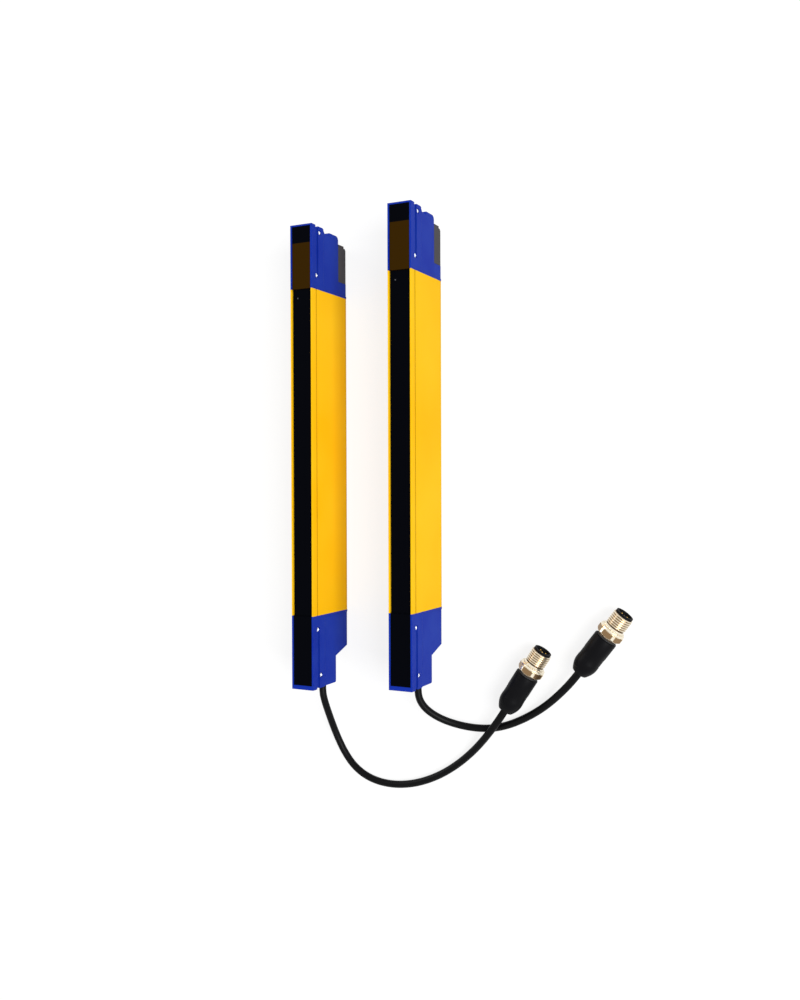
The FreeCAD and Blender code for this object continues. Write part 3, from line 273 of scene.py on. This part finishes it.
def moulded_plastic(name, colours_pair, rough, sizes, gloss=0.05, height=0.03):
    """Injection-moulded plastic: spark-eroded grain, in slightly paler and darker patches."""
    first, second = colours_pair
    material, tree, shader, place = new_finish(name, first, rough,
                                               {"IOR": 1.5, "Specular IOR Level": gloss})
    patches = add_node(tree, "ShaderNodeTexNoise", {"Scale": 1 / PLASTIC_PATCH, "Detail": 2.0},
                       {"Vector": place})
    blend_colours(tree, shader, patches.outputs["Fac"], first, second, 0.3, 0.75)
    # Painted shade: the plastic falls to half its colour in creases and corners within 0.8 mm.
    paint_crease_shade(tree, shader, 0.8 * MM, 0.5)
    grain = add_node(tree, "ShaderNodeTexNoise", {"Scale": 1 / sizes.grain, "Detail": 3.0},
                     {"Vector": place})
    vary_roughness(tree, shader, grain.outputs["Fac"], rough - 0.06, rough + 0.06)
    raise_surface(tree, shader, grain.outputs["Fac"], height * MM, 0.5, sizes.moulded_edge)
    return material


def shade(base, factor):
    """The same colour made lighter or darker by that factor."""
    return tuple(min(1.0, c * factor) for c in base[:3]) + (1.0,)


def smooth_acrylic(name, base, settings=None):
    """Cast acrylic with a hard coat: nearly mirror smooth, its tint soaks up the light."""
    material, tree, shader, place = new_finish(name, base, 0.07, dict({"IOR": 1.49}, **(settings or {})))
    dust = add_node(tree, "ShaderNodeTexNoise", {"Scale": 1 / ACRYLIC_DUST, "Detail": 4.0},
                    {"Vector": place})
    vary_roughness(tree, shader, dust.outputs["Fac"], 0.05, 0.10)
    wave = add_node(tree, "ShaderNodeTexNoise", {"Scale": 1 / ACRYLIC_WAVE, "Detail": 2.0},
                    {"Vector": place})
    raise_surface(tree, shader, wave.outputs["Fac"], 0.01 * MM, 0.3)
    return material


def lead_jacket(colours):
    """Extruded jacket: satin, with a fine matt bloom."""
    material, tree, shader, place = new_finish("extruded_jacket", colours.jacket, 0.40,
                                               {"IOR": 1.5, "Specular IOR Level": 0.08})
    bloom = add_node(tree, "ShaderNodeTexNoise", {"Scale": 1 / JACKET_BLOOM, "Detail": 3.0},
                     {"Vector": place})
    patches = add_node(tree, "ShaderNodeTexNoise", {"Scale": 1 / JACKET_PATCH, "Detail": 2.0},
                       {"Vector": place})
    blend_colours(tree, shader, patches.outputs["Fac"], colours.jacket, shade(colours.jacket, 1.5))
    vary_roughness(tree, shader, bloom.outputs["Fac"], 0.34, 0.46)
    raise_surface(tree, shader, bloom.outputs["Fac"], 0.015 * MM, 0.5)
    return material


def nickelled_brass(colours):
    """Brass bar under thin nickel: turned faces are pale champagne; the flats carry a painted darker
    reflection and the roots painted shade, both brown.
    """
    material, tree, shader, place = new_finish("nickelled_brass", colours.brass, 0.24,
                                               {"Metallic": 1.0})
    # Painted light on the nut: the lathe's attribute runs the colour from painted shade in the roots,
    # through a painted darker reflection on the flats, to the lit turned faces.
    painted_light = add_node(tree, "ShaderNodeAttribute", {"attribute_name": "painted_light"}).outputs["Fac"]
    ramp = blend_colours(tree, shader, painted_light, colours.brass_painted_root_shade, colours.brass, 0.0, 0.9)
    ramp.color_ramp.elements.new(FLAT_LIGHT_LEVEL).color = colours.brass_painted_flat_reflection
    marks = add_node(tree, "ShaderNodeTexNoise", {"Scale": 1 / TURNING_MARKS, "Detail": 4.0},
                     {"Vector": place})
    vary_roughness(tree, shader, marks.outputs["Fac"], 0.20, 0.32)
    raise_surface(tree, shader, marks.outputs["Fac"], 0.01 * MM, 0.4)
    return material


def plated_steel(colours):
    """Zinc-plated screw steel: pale and bright, slightly hazed."""
    material, tree, shader, place = new_finish("zinc_plated_steel", colours.steel, 0.28,
                                               {"Metallic": 1.0})
    haze = add_node(tree, "ShaderNodeTexNoise", {"Scale": 1 / ZINC_HAZE, "Detail": 3.0},
                    {"Vector": place})
    vary_roughness(tree, shader, haze.outputs["Fac"], 0.22, 0.36)
    raise_surface(tree, shader, haze.outputs["Fac"], 0.01 * MM, 0.4)
    return material


def gold_contact():
    """Hard gold over nickel on turned pins."""
    material, tree, shader, place = new_finish("hard_gold", linear("#E0B35A"), 0.2, {"Metallic": 1.0})
    marks = add_node(tree, "ShaderNodeTexNoise", {"Scale": 1 / GOLD_MARKS, "Detail": 3.0},
                     {"Vector": place})
    vary_roughness(tree, shader, marks.outputs["Fac"], 0.16, 0.26)
    return material


def circuit_board():
    """Green solder mask over copper: tracks show as slightly paler, raised lines."""
    material, tree, shader, place = new_finish("solder_mask", linear("#0E4A26"), 0.3, {"IOR": 1.5})
    tracks = add_node(tree, "ShaderNodeTexBrick",
                      {"Scale": 1 / TRACK_PITCH, "Mortar Size": 0.08, "Mortar Smooth": 0.2},
                      {"Vector": place})
    blend_colours(tree, shader, tracks.outputs["Fac"], linear("#0E4A26"), linear("#2C7A42"))
    raise_surface(tree, shader, tracks.outputs["Fac"], 0.03 * MM, 0.6)
    return material


def clear_resin(name, base, clear):
    """Cast resin or moulded lens: glossy, with light passing through."""
    material, tree, shader, place = new_finish(name, base, 0.08,
                                               {"IOR": 1.52, "Transmission Weight": clear})
    haze = add_node(tree, "ShaderNodeTexNoise", {"Scale": 1 / RESIN_HAZE, "Detail": 2.0},
                    {"Vector": place})
    vary_roughness(tree, shader, haze.outputs["Fac"], 0.05, 0.12)
    return material


def rubber(name, base):
    """Moulded rubber: dull black with a powdery bloom."""
    material, tree, shader, place = new_finish(name, base, 0.7, {"IOR": 1.52})
    bloom = add_node(tree, "ShaderNodeTexNoise", {"Scale": 1 / RUBBER_BLOOM, "Detail": 3.0},
                     {"Vector": place})
    blend_colours(tree, shader, bloom.outputs["Fac"], base, shade(base, 1.7))
    raise_surface(tree, shader, bloom.outputs["Fac"], 0.03 * MM, 0.5)
    return material


def finish_nodes(nodes, material):
    """Gives those pieces of both bars that material, where the bar has them."""
    for bar in BARS:
        for node in nodes:
            if bar + "_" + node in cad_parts:
                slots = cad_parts[bar + "_" + node].data.materials
                slots.clear()
                slots.append(material)


def only(piece):
    """Selects that piece alone and makes it active."""
    bpy.ops.object.select_all(action="DESELECT")
    piece.select_set(True)
    bpy.context.view_layer.objects.active = piece


def pick(piece, kind, test):
    """In edit mode, selects the vertices, edges or faces of the piece that pass the test."""
    bpy.ops.object.mode_set(mode="EDIT")
    bpy.ops.mesh.select_mode(type=kind)
    bpy.ops.mesh.select_all(action="DESELECT")
    bpy.ops.object.mode_set(mode="OBJECT")
    mesh = piece.data
    items = {"VERT": mesh.vertices, "EDGE": mesh.edges, "FACE": mesh.polygons}[kind]
    for item in items:
        item.select = test(item)
    bpy.ops.object.mode_set(mode="EDIT")


def plug_axis(bar):
    """Centre of the grip's rear face, and the way the plug points."""
    before, rear = (Vector(point) for point in LEAD_ROUTES[bar][-2:])
    return rear, (rear - before).normalized()


class CURTAIN_OT_housings(bpy.types.Operator):
    """Powder coat on the two extruded housings"""
    bl_idname = "curtain.housings"
    bl_label = "Housings"

    def execute(self, context):
        colours, sizes = context.scene.curtain_colours, context.scene.curtain_sizes
        finish_nodes(["profile"], powder_coat(colours, sizes))
        return {"FINISHED"}


class CURTAIN_OT_caps(bpy.types.Operator):
    """Moulded plastic on the end caps and the rear covers"""
    bl_idname = "curtain.caps"
    bl_label = "End caps"

    def execute(self, context):
        colours, sizes = context.scene.curtain_colours, context.scene.curtain_sizes
        blues = (colours.cap, colours.cap_pale)
        finish_nodes(["top_cap", "bottom_cap"], moulded_plastic("blue_moulded_plastic", blues, 0.42, sizes))
        greys = (colours.cover, shade(colours.cover, 1.2))
        finish_nodes(["rear_cover"], moulded_plastic("grey_moulded_plastic", greys, 0.5, sizes))
        return {"FINISHED"}


class CURTAIN_OT_windows(bpy.types.Operator):
    """Filter sheets over the beams and in the end caps"""
    bl_idname = "curtain.windows"
    bl_label = "Windows"

    def execute(self, context):
        colours = context.scene.curtain_colours
        dark = {"Specular IOR Level": 0.02}
        finish_nodes(["front_window", "bottom_window", "end_window"],
                     smooth_acrylic("infrared_filter_acrylic", colours.window, dark))
        finish_nodes(["indicator_window"], smooth_acrylic("amber_smoked_acrylic", colours.amber, dark))
        return {"FINISHED"}


class CURTAIN_OT_inner_parts(bpy.types.Operator):
    """Boards, lenses, diodes, frames and gaskets inside the bars"""
    bl_idname = "curtain.inner_parts"
    bl_label = "Inner parts"

    def execute(self, context):
        colours, sizes = context.scene.curtain_colours, context.scene.curtain_sizes
        blacks = (colours.black, shade(colours.black, 1.6))
        black = moulded_plastic("black_moulded_plastic", blacks, 0.5, sizes)
        finish_nodes(["lens_carrier", "top_frame", "bottom_frame", "setting_switches", "plug_insert"],
                     black)
        finish_nodes(["window_bond", "top_gasket", "bottom_gasket", "plug_ring", "cable_gland"],
                     rubber("moulded_rubber", linear("#141415")))
        finish_nodes(["optic_board", "control_board", "display_board"], circuit_board())
        finish_nodes(["lenses"], clear_resin("clear_lens_plastic", linear("#E4E4EA"), 0.9))
        finish_nodes(["infrared_leds", "photodiodes"],
                     clear_resin("tinted_diode_resin", linear("#2A2433"), 0.3))
        finish_nodes(["indicator_lights"], clear_resin("indicator_resin", linear("#EDE6C0"), 0.4))
        finish_nodes(["plug_pins"], gold_contact())
        return {"FINISHED"}


def lathe(name, rings, shape, bore):
    """Turned piece along Z from rings of (place, radius, form) in millimetres, with a round bore."""
    bpy.ops.object.select_all(action="DESELECT")
    bpy.ops.mesh.primitive_cylinder_add(vertices=LATHE_SIDES, radius=0.006, depth=1.0,
                                        end_fill_type="NGON")
    piece = bpy.context.object
    piece.name = name
    heights = [vertex.co.z for vertex in piece.data.vertices]
    pick(piece, "EDGE",
         lambda edge: abs(heights[edge.vertices[0]] - heights[edge.vertices[1]]) > 0.5)
    bpy.ops.mesh.subdivide(number_cuts=len(rings) - 2)
    bpy.ops.object.mode_set(mode="OBJECT")
    # Painted light level of each vertex, from the shape: 1 lit, lower where shade or a darker reflection is
    # painted.
    painted_light = piece.data.attributes.new("painted_light", "FLOAT", "POINT")
    gaps = len(rings) - 1
    for index, vertex in enumerate(piece.data.vertices):
        place, radius, form = rings[round((vertex.co.z + 0.5) * gaps)]
        angle = math.atan2(vertex.co.y, vertex.co.x) % math.tau
        out, bright = shape(place, radius, form, angle)
        vertex.co = (out * MM * math.cos(angle), out * MM * math.sin(angle), place * MM)
        painted_light.data[index].value = bright
    pick(piece, "FACE", lambda face: len(face.vertices) == LATHE_SIDES)
    bpy.ops.mesh.inset(thickness=0.4 * MM, use_even_offset=False)
    bpy.ops.object.mode_set(mode="OBJECT")
    for vertex in piece.data.vertices:
        if vertex.select:
            angle = math.atan2(vertex.co.y, vertex.co.x)
            vertex.co.x, vertex.co.y = bore * MM * math.cos(angle), bore * MM * math.sin(angle)
    pick(piece, "FACE", lambda face: len(face.vertices) == LATHE_SIDES)
    bpy.ops.mesh.bridge_edge_loops()
    bpy.ops.mesh.select_all(action="SELECT")
    bpy.ops.mesh.normals_make_consistent(inside=False)
    bpy.ops.object.mode_set(mode="OBJECT")
    bpy.ops.object.shade_smooth_by_angle(angle=math.radians(28))
    return piece


def plain_turn(place, radius, form, angle):
    """Shape of a piece that is round and bright all over."""
    return radius, 1.0


def copy_of(pattern):
    """A copy of the turned piece with a mesh of its own."""
    piece = pattern.copy()
    piece.data = pattern.data.copy()
    bpy.context.collection.objects.link(piece)
    return piece


def cut_cross(piece, top, sizes):
    """Cuts a cross recess into the top of a screw head that faces +Z."""
    arms = []
    for long, wide in ((RECESS_LONG, RECESS_WIDE), (RECESS_WIDE, RECESS_LONG)):
        bpy.ops.mesh.primitive_cube_add(size=1.0, location=(0, 0, top))
        arm = bpy.context.object
        arm.scale = (long * MM, wide * MM, 2 * sizes.screw_recess)
        bpy.ops.object.transform_apply(location=True, scale=True)
        arms.append(arm)
    for arm in arms:
        only(piece)
        cut = piece.modifiers.new("recess", "BOOLEAN")
        cut.object = arm
        cut.operation = "DIFFERENCE"
        bpy.ops.object.modifier_apply(modifier=cut.name)
        bpy.data.objects.remove(arm)


def set_on_plug(pattern, bar, name, material, body, stands_for):
    """A copy of the turned piece, laid along the plug of that bar."""
    piece = copy_of(pattern)
    piece.name = bar + name
    rear, heading = plug_axis(bar)
    turn = heading.to_track_quat("Z", "Y").to_matrix().to_4x4()
    piece.data.transform(Matrix.Translation(rear) @ turn)
    piece.data.materials.append(material)
    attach(piece, body)
    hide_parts(bar + stands_for)


def nut_rings(sizes):
    """Rings of the coupling nut along its axis: place, radius and form, in millimetres."""
    rings = [(NUT_START, NECK_RADIUS, "root"), (HEX_START, NECK_RADIUS, "root")]
    for step in range(BEVEL_STEPS + 1):
        share = step / BEVEL_STEPS
        radius = HEX_FACE + (HEX_CORNER - HEX_FACE) * share
        rings.append((HEX_START + HEX_BEVEL * share, radius, "hexagon"))
    rings += [(HEX_END, HEX_CORNER, "hexagon"), (HEX_END + 0.1, HEX_FLAT - 0.1, "round"),
              (FLANGE_START, HEX_FLAT - 0.1, "round"), (FLANGE_START + 0.1, FLANGE_RADIUS - 0.2, "round"),
              (FLANGE_START + 0.3, FLANGE_RADIUS, "round"), (FLANGE_END - 0.7, FLANGE_RADIUS, "round"),
              (FLANGE_END - 0.2, FLANGE_RADIUS - 0.35, "round"), (FLANGE_END, COLLAR_RADIUS, "collar"),
              (COLLAR_END - 0.8, COLLAR_RADIUS, "collar"), (COLLAR_END, RELIEF_RADIUS + 0.3, "round"),
              (COLLAR_END, RELIEF_RADIUS, "root"), (THREAD_START, RELIEF_RADIUS, "root")]
    count = int((NUT_END - THREAD_START) / (sizes.thread_pitch / MM) * STEPS_A_TURN)
    for step in range(1, count + 1):
        place = THREAD_START + (NUT_END - THREAD_START) * step / count
        rings.append((place, sizes.thread_radius / MM, "thread"))
    return rings


def nut_shape(sizes):
    """Radius in millimetres, and the painted light level of the metal (1 lit, lower where shade or a darker
    reflection is painted), at each place and angle of the nut.
    """
    pitch, depth = sizes.thread_pitch / MM, sizes.thread_depth / MM

    def shape(place, radius, form, angle):
        if form == "hexagon":
            # The flats get a painted darker reflection; the rounded corners stay lit.
            flat = HEX_FLAT / math.cos(angle % math.radians(60) - math.radians(30))
            return (flat, FLAT_LIGHT_LEVEL) if flat < radius else (radius, 1.0)
        if form == "collar":
            notch = NOTCH_DEPTH * max(0.0, math.cos(angle * NOTCHES)) ** 2
            return radius - notch, COLLAR_LIGHT_LEVEL
        if form == "thread":
            # The crests stay lit; shade is painted down the flanks into the roots.
            phase = (place / pitch - angle / math.tau) % 1.0
            flank = min(1.0, abs(2 * phase - 1) * FLANK_SLOPE)
            run_out = radius - THREAD_BEVEL + (NUT_END - place)
            run_in = RELIEF_RADIUS + (place - THREAD_START)
            cut = min(radius - depth * flank, run_out)
            return max(RELIEF_RADIUS, min(cut, run_in)), 1.0 - ROOT_PAINTED_SHADE * flank
        # The neck and the thread relief get full painted shade; other faces stay lit.
        return radius, 0.0 if form == "root" else 1.0

    return shape


class CURTAIN_OT_screws(bpy.types.Operator):
    """Plated screws of the end caps: pan heads with a cross recess"""
    bl_idname = "curtain.screws"
    bl_label = "Screws"

    def execute(self, context):
        colours, sizes = context.scene.curtain_colours, context.scene.curtain_sizes
        steel = plated_steel(colours)
        finish_nodes(["end_screws"], steel)
        rings = [(place, radius, "round") for place, radius in SCREW_RINGS]
        pattern = lathe("screw_pattern", rings, plain_turn, 0.1)
        cut_cross(pattern, SCREW_RINGS[-1][0] * MM, sizes)
        pattern.data.materials.append(steel)
        for bar in BARS:
            low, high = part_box(bar + "_profile")
            middle = (low[0] + high[0]) / 2
            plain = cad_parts[bar + "_cap_screws"].copy()
            plain.data = plain.data.copy()
            context.collection.objects.link(plain)
            only(plain)
            bpy.ops.object.mode_set(mode="EDIT")
            bpy.ops.mesh.select_all(action="SELECT")
            bpy.ops.mesh.remove_doubles(threshold=0.01 * MM)
            bpy.ops.mesh.separate(type="LOOSE")
            bpy.ops.object.mode_set(mode="OBJECT")
            places = []
            for piece in list(context.selected_objects):
                corners = [vertex.co for vertex in piece.data.vertices]
                lows = [min(corner[axis] for corner in corners) for axis in range(3)]
                highs = [max(corner[axis] for corner in corners) for axis in range(3)]
                way = 1 if lows[0] + highs[0] > 2 * middle else -1
                face = highs[0] if way > 0 else lows[0]
                places.append(((face, (lows[1] + highs[1]) / 2, (lows[2] + highs[2]) / 2), way))
            bpy.ops.object.delete()
            for place, way in places:
                piece = copy_of(pattern)
                turn = Vector((way, 0, 0)).to_track_quat("Z", "Y").to_matrix().to_4x4()
                drop = Matrix.Translation((0, 0, -SCREW_RINGS[-1][0] * MM))
                piece.data.transform(Matrix.Translation(place) @ turn @ drop)
                piece.select_set(True)
                bpy.context.view_layer.objects.active = piece
            bpy.ops.object.join()
            screws = context.object
            screws.name = bar + "_recessed_screws"
            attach(screws, ROOT_BODY)
            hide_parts(bar + "_cap_screws")
        bpy.data.objects.remove(pattern)
        return {"FINISHED"}


class CURTAIN_OT_sync_lenses(bpy.types.Operator):
    """Small lens of the synchronising light near the upper end of each front window"""
    bl_idname = "curtain.sync_lenses"
    bl_label = "Synchronising lenses"

    def execute(self, context):
        sizes = context.scene.curtain_sizes
        haze = clear_resin("frosted_lens_plastic", linear("#4C4E56"), 0.1)
        radius = sizes.sync_lens / MM
        rings = [(height, radius * share, "round") for height, share in SYNC_RINGS]
        pattern = lathe("lens_pattern", rings, plain_turn, 0.02)
        for bar in BARS:
            low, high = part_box(bar + "_profile")
            window_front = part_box(bar + "_front_window")[1][2]
            lens = copy_of(pattern)
            lens.name = bar + "_sync_lens"
            place = ((low[0] + high[0]) / 2 - SYNC_ACROSS * MM, high[1] - SYNC_FROM_END * MM, window_front)
            lens.data.transform(Matrix.Translation(place))
            lens.data.materials.append(haze)
            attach(lens, ROOT_BODY)
        bpy.data.objects.remove(pattern)
        return {"FINISHED"}


class CURTAIN_OT_nuts(bpy.types.Operator):
    """Coupling nuts of the plugs: turned hexagon, flange, notched collar and cut thread"""
    bl_idname = "curtain.nuts"
    bl_label = "Coupling nuts"

    def execute(self, context):
        colours, sizes = context.scene.curtain_colours, context.scene.curtain_sizes
        brass = nickelled_brass(colours)
        pattern = lathe("nut_pattern", nut_rings(sizes), nut_shape(sizes), NUT_BORE)
        for bar in BARS:
            set_on_plug(pattern, bar, "_coupling_nut", brass, bar + "_nut", "_plug_nut")
        bpy.data.objects.remove(pattern)
        return {"FINISHED"}


class CURTAIN_OT_grips(bpy.types.Operator):
    """Overmoulded grips of the plugs: shouldered rear, shallow finger band and rolled front edge"""
    bl_idname = "curtain.grips"
    bl_label = "Plug grips"

    def execute(self, context):
        colours, sizes = context.scene.curtain_colours, context.scene.curtain_sizes
        blacks = (colours.grip, shade(colours.grip, 1.6))
        black = moulded_plastic("overmoulded_grip", blacks, 0.42, sizes, gloss=0.06, height=0.04)
        rings = [(place, radius, "round") for place, radius in GRIP_RINGS]
        pattern = lathe("grip_pattern", rings, plain_turn, 0.6)
        for bar in BARS:
            set_on_plug(pattern, bar, "_moulded_grip", black, ROOT_BODY, "_plug_grip")
        bpy.data.objects.remove(pattern)
        return {"FINISHED"}


class CURTAIN_OT_leads(bpy.types.Operator):
    """Leads of the two bars, each from its bushing to its plug"""
    bl_idname = "curtain.leads"
    bl_label = "Leads"

    def execute(self, context):
        colours, sizes = context.scene.curtain_colours, context.scene.curtain_sizes
        jacket = lead_jacket(colours)
        for bar in BARS:
            line = bpy.data.curves.new(bar + "_lead", "CURVE")
            line.dimensions = "3D"
            line.bevel_depth = sizes.lead_diameter / 2
            line.bevel_resolution = 8
            line.resolution_u = 14
            line.use_fill_caps = True
            spline = line.splines.new("NURBS")
            route = LEAD_ROUTES[bar]
            spline.points.add(len(route) - 1)
            for point, place in zip(spline.points, route):
                point.co = (*place, 1.0)
            spline.order_u = 3
            spline.use_endpoint_u = True
            line.materials.append(jacket)
            lead = bpy.data.objects.new(bar + "_lead", line)
            context.collection.objects.link(lead)
            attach(lead, ROOT_BODY)
            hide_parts(bar + "_cable")
            on_lead = [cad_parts[bar + part] for part in ("_plug_ring", "_plug_insert", "_plug_pins")]
            on_lead += [bpy.data.objects[bar + part] for part in ("_moulded_grip", "_coupling_nut")]
        return {"FINISHED"}


def direct_rays(tree):
    """1 for a ray from the camera, off gloss or through glass, so all see the same background."""
    path = add_node(tree, "ShaderNodeLightPath")
    seen = path.outputs["Is Camera Ray"]
    for kind in ("Is Glossy Ray", "Is Transmission Ray"):
        seen = add_node(tree, "ShaderNodeMath", {"operation": "MAXIMUM"},
                        {0: seen, 1: path.outputs[kind]}).outputs["Value"]
    return seen


class CURTAIN_OT_stage(bpy.types.Operator):
    """Floor, light and camera"""
    bl_idname = "curtain.stage"
    bl_label = "Stage"

    def execute(self, context):
        stage = context.scene.curtain_stage
        bpy.ops.object.select_all(action="DESELECT")
        bpy.ops.mesh.primitive_plane_add(size=FLOOR_SIZE, location=(0, 0, 0))
        floor = context.object
        floor.name = "floor"
        material, tree, shader, place = new_finish("pale_floor", linear("#848484"), 0.9,
                                                   {"Specular IOR Level": 0.0})
        tree.nodes.remove(place.node)
        seen = add_node(tree, "ShaderNodeMath", {"operation": "MULTIPLY", 1: FLOOR_GLOW},
                        {0: direct_rays(tree)})
        shader.inputs["Emission Color"].default_value = (1, 1, 1, 1)
        tree.links.new(seen.outputs["Value"], shader.inputs["Emission Strength"])
        floor.data.materials.append(material)

        world = bpy.data.worlds.new("studio")
        world.use_nodes = True
        context.scene.world = world
        tree = world.node_tree
        background = tree.nodes["Background"]
        level = add_node(tree, "ShaderNodeMapRange", {"To Min": stage.fill, "To Max": 1.0},
                         {"Value": direct_rays(tree)})
        background.inputs["Color"].default_value = (1, 1, 1, 1)
        tree.links.new(level.outputs["Result"], background.inputs["Strength"])

        for name, place, power, size in (
                ("key_lamp", KEY_PLACE, stage.key, KEY_SIZE),
                ("side_lamp", SIDE_PLACE, stage.key * SIDE_SHARE, SIDE_SIZE)):
            lamp = bpy.data.lights.new(name, "AREA")
            lamp.energy = power
            lamp.size = size
            holder = bpy.data.objects.new(name, lamp)
            context.collection.objects.link(holder)
            holder.location = place
            way = Vector(LAMP_AIM) - Vector(place)
            holder.rotation_euler = way.to_track_quat("-Z", "Y").to_euler()

        view = bpy.data.cameras.new("camera")
        view.lens = stage.lens
        view.sensor_width = SENSOR_WIDTH
        view.clip_start = 0.01
        camera = bpy.data.objects.new("camera", view)
        context.collection.objects.link(camera)
        turn = Matrix((CAMERA_RIGHT, CAMERA_UP, CAMERA_BACK)).transposed().to_4x4()
        camera.matrix_world = Matrix.Translation(CAMERA_PLACE) @ turn
        context.scene.camera = camera
        context.scene.view_settings.view_transform = "Standard"
        return {"FINISHED"}


PARTS = (
    CURTAIN_OT_housings, CURTAIN_OT_caps, CURTAIN_OT_windows, CURTAIN_OT_inner_parts,
    CURTAIN_OT_screws, CURTAIN_OT_sync_lenses, CURTAIN_OT_nuts, CURTAIN_OT_grips,
    CURTAIN_OT_leads, CURTAIN_OT_stage,
)


class CURTAIN_PT_panel(bpy.types.Panel):
    """Lists the pieces and the sizes and colours they use"""
    bl_label = "Light curtain"
    bl_idname = "CURTAIN_PT_panel"
    bl_space_type = "VIEW_3D"
    bl_region_type = "UI"
    bl_category = "Light curtain"

    def draw(self, context):
        for part in PARTS:
            self.layout.operator(part.bl_idname)
        scene = context.scene
        for group in (scene.curtain_colours, scene.curtain_sizes, scene.curtain_stage):
            box = self.layout.box()
            for name in group.__annotations__:
                box.prop(group, name)


GROUPS = (CurtainColours, CurtainSizes, CurtainStage)


def register():
    for kind in (*GROUPS, *PARTS, CURTAIN_PT_panel):
        bpy.utils.register_class(kind)
    bpy.types.Scene.curtain_colours = bpy.props.PointerProperty(type=CurtainColours)
    bpy.types.Scene.curtain_sizes = bpy.props.PointerProperty(type=CurtainSizes)
    bpy.types.Scene.curtain_stage = bpy.props.PointerProperty(type=CurtainStage)


def unregister():
    for name in ("curtain_colours", "curtain_sizes", "curtain_stage"):
        delattr(bpy.types.Scene, name)
    for kind in reversed((*GROUPS, *PARTS, CURTAIN_PT_panel)):
        bpy.utils.unregister_class(kind)


def main():
    register()
    for part in PARTS:
        group, name = part.bl_idname.split(".")
        getattr(getattr(bpy.ops, group), name)()


if __name__ == "__main__":
    main()
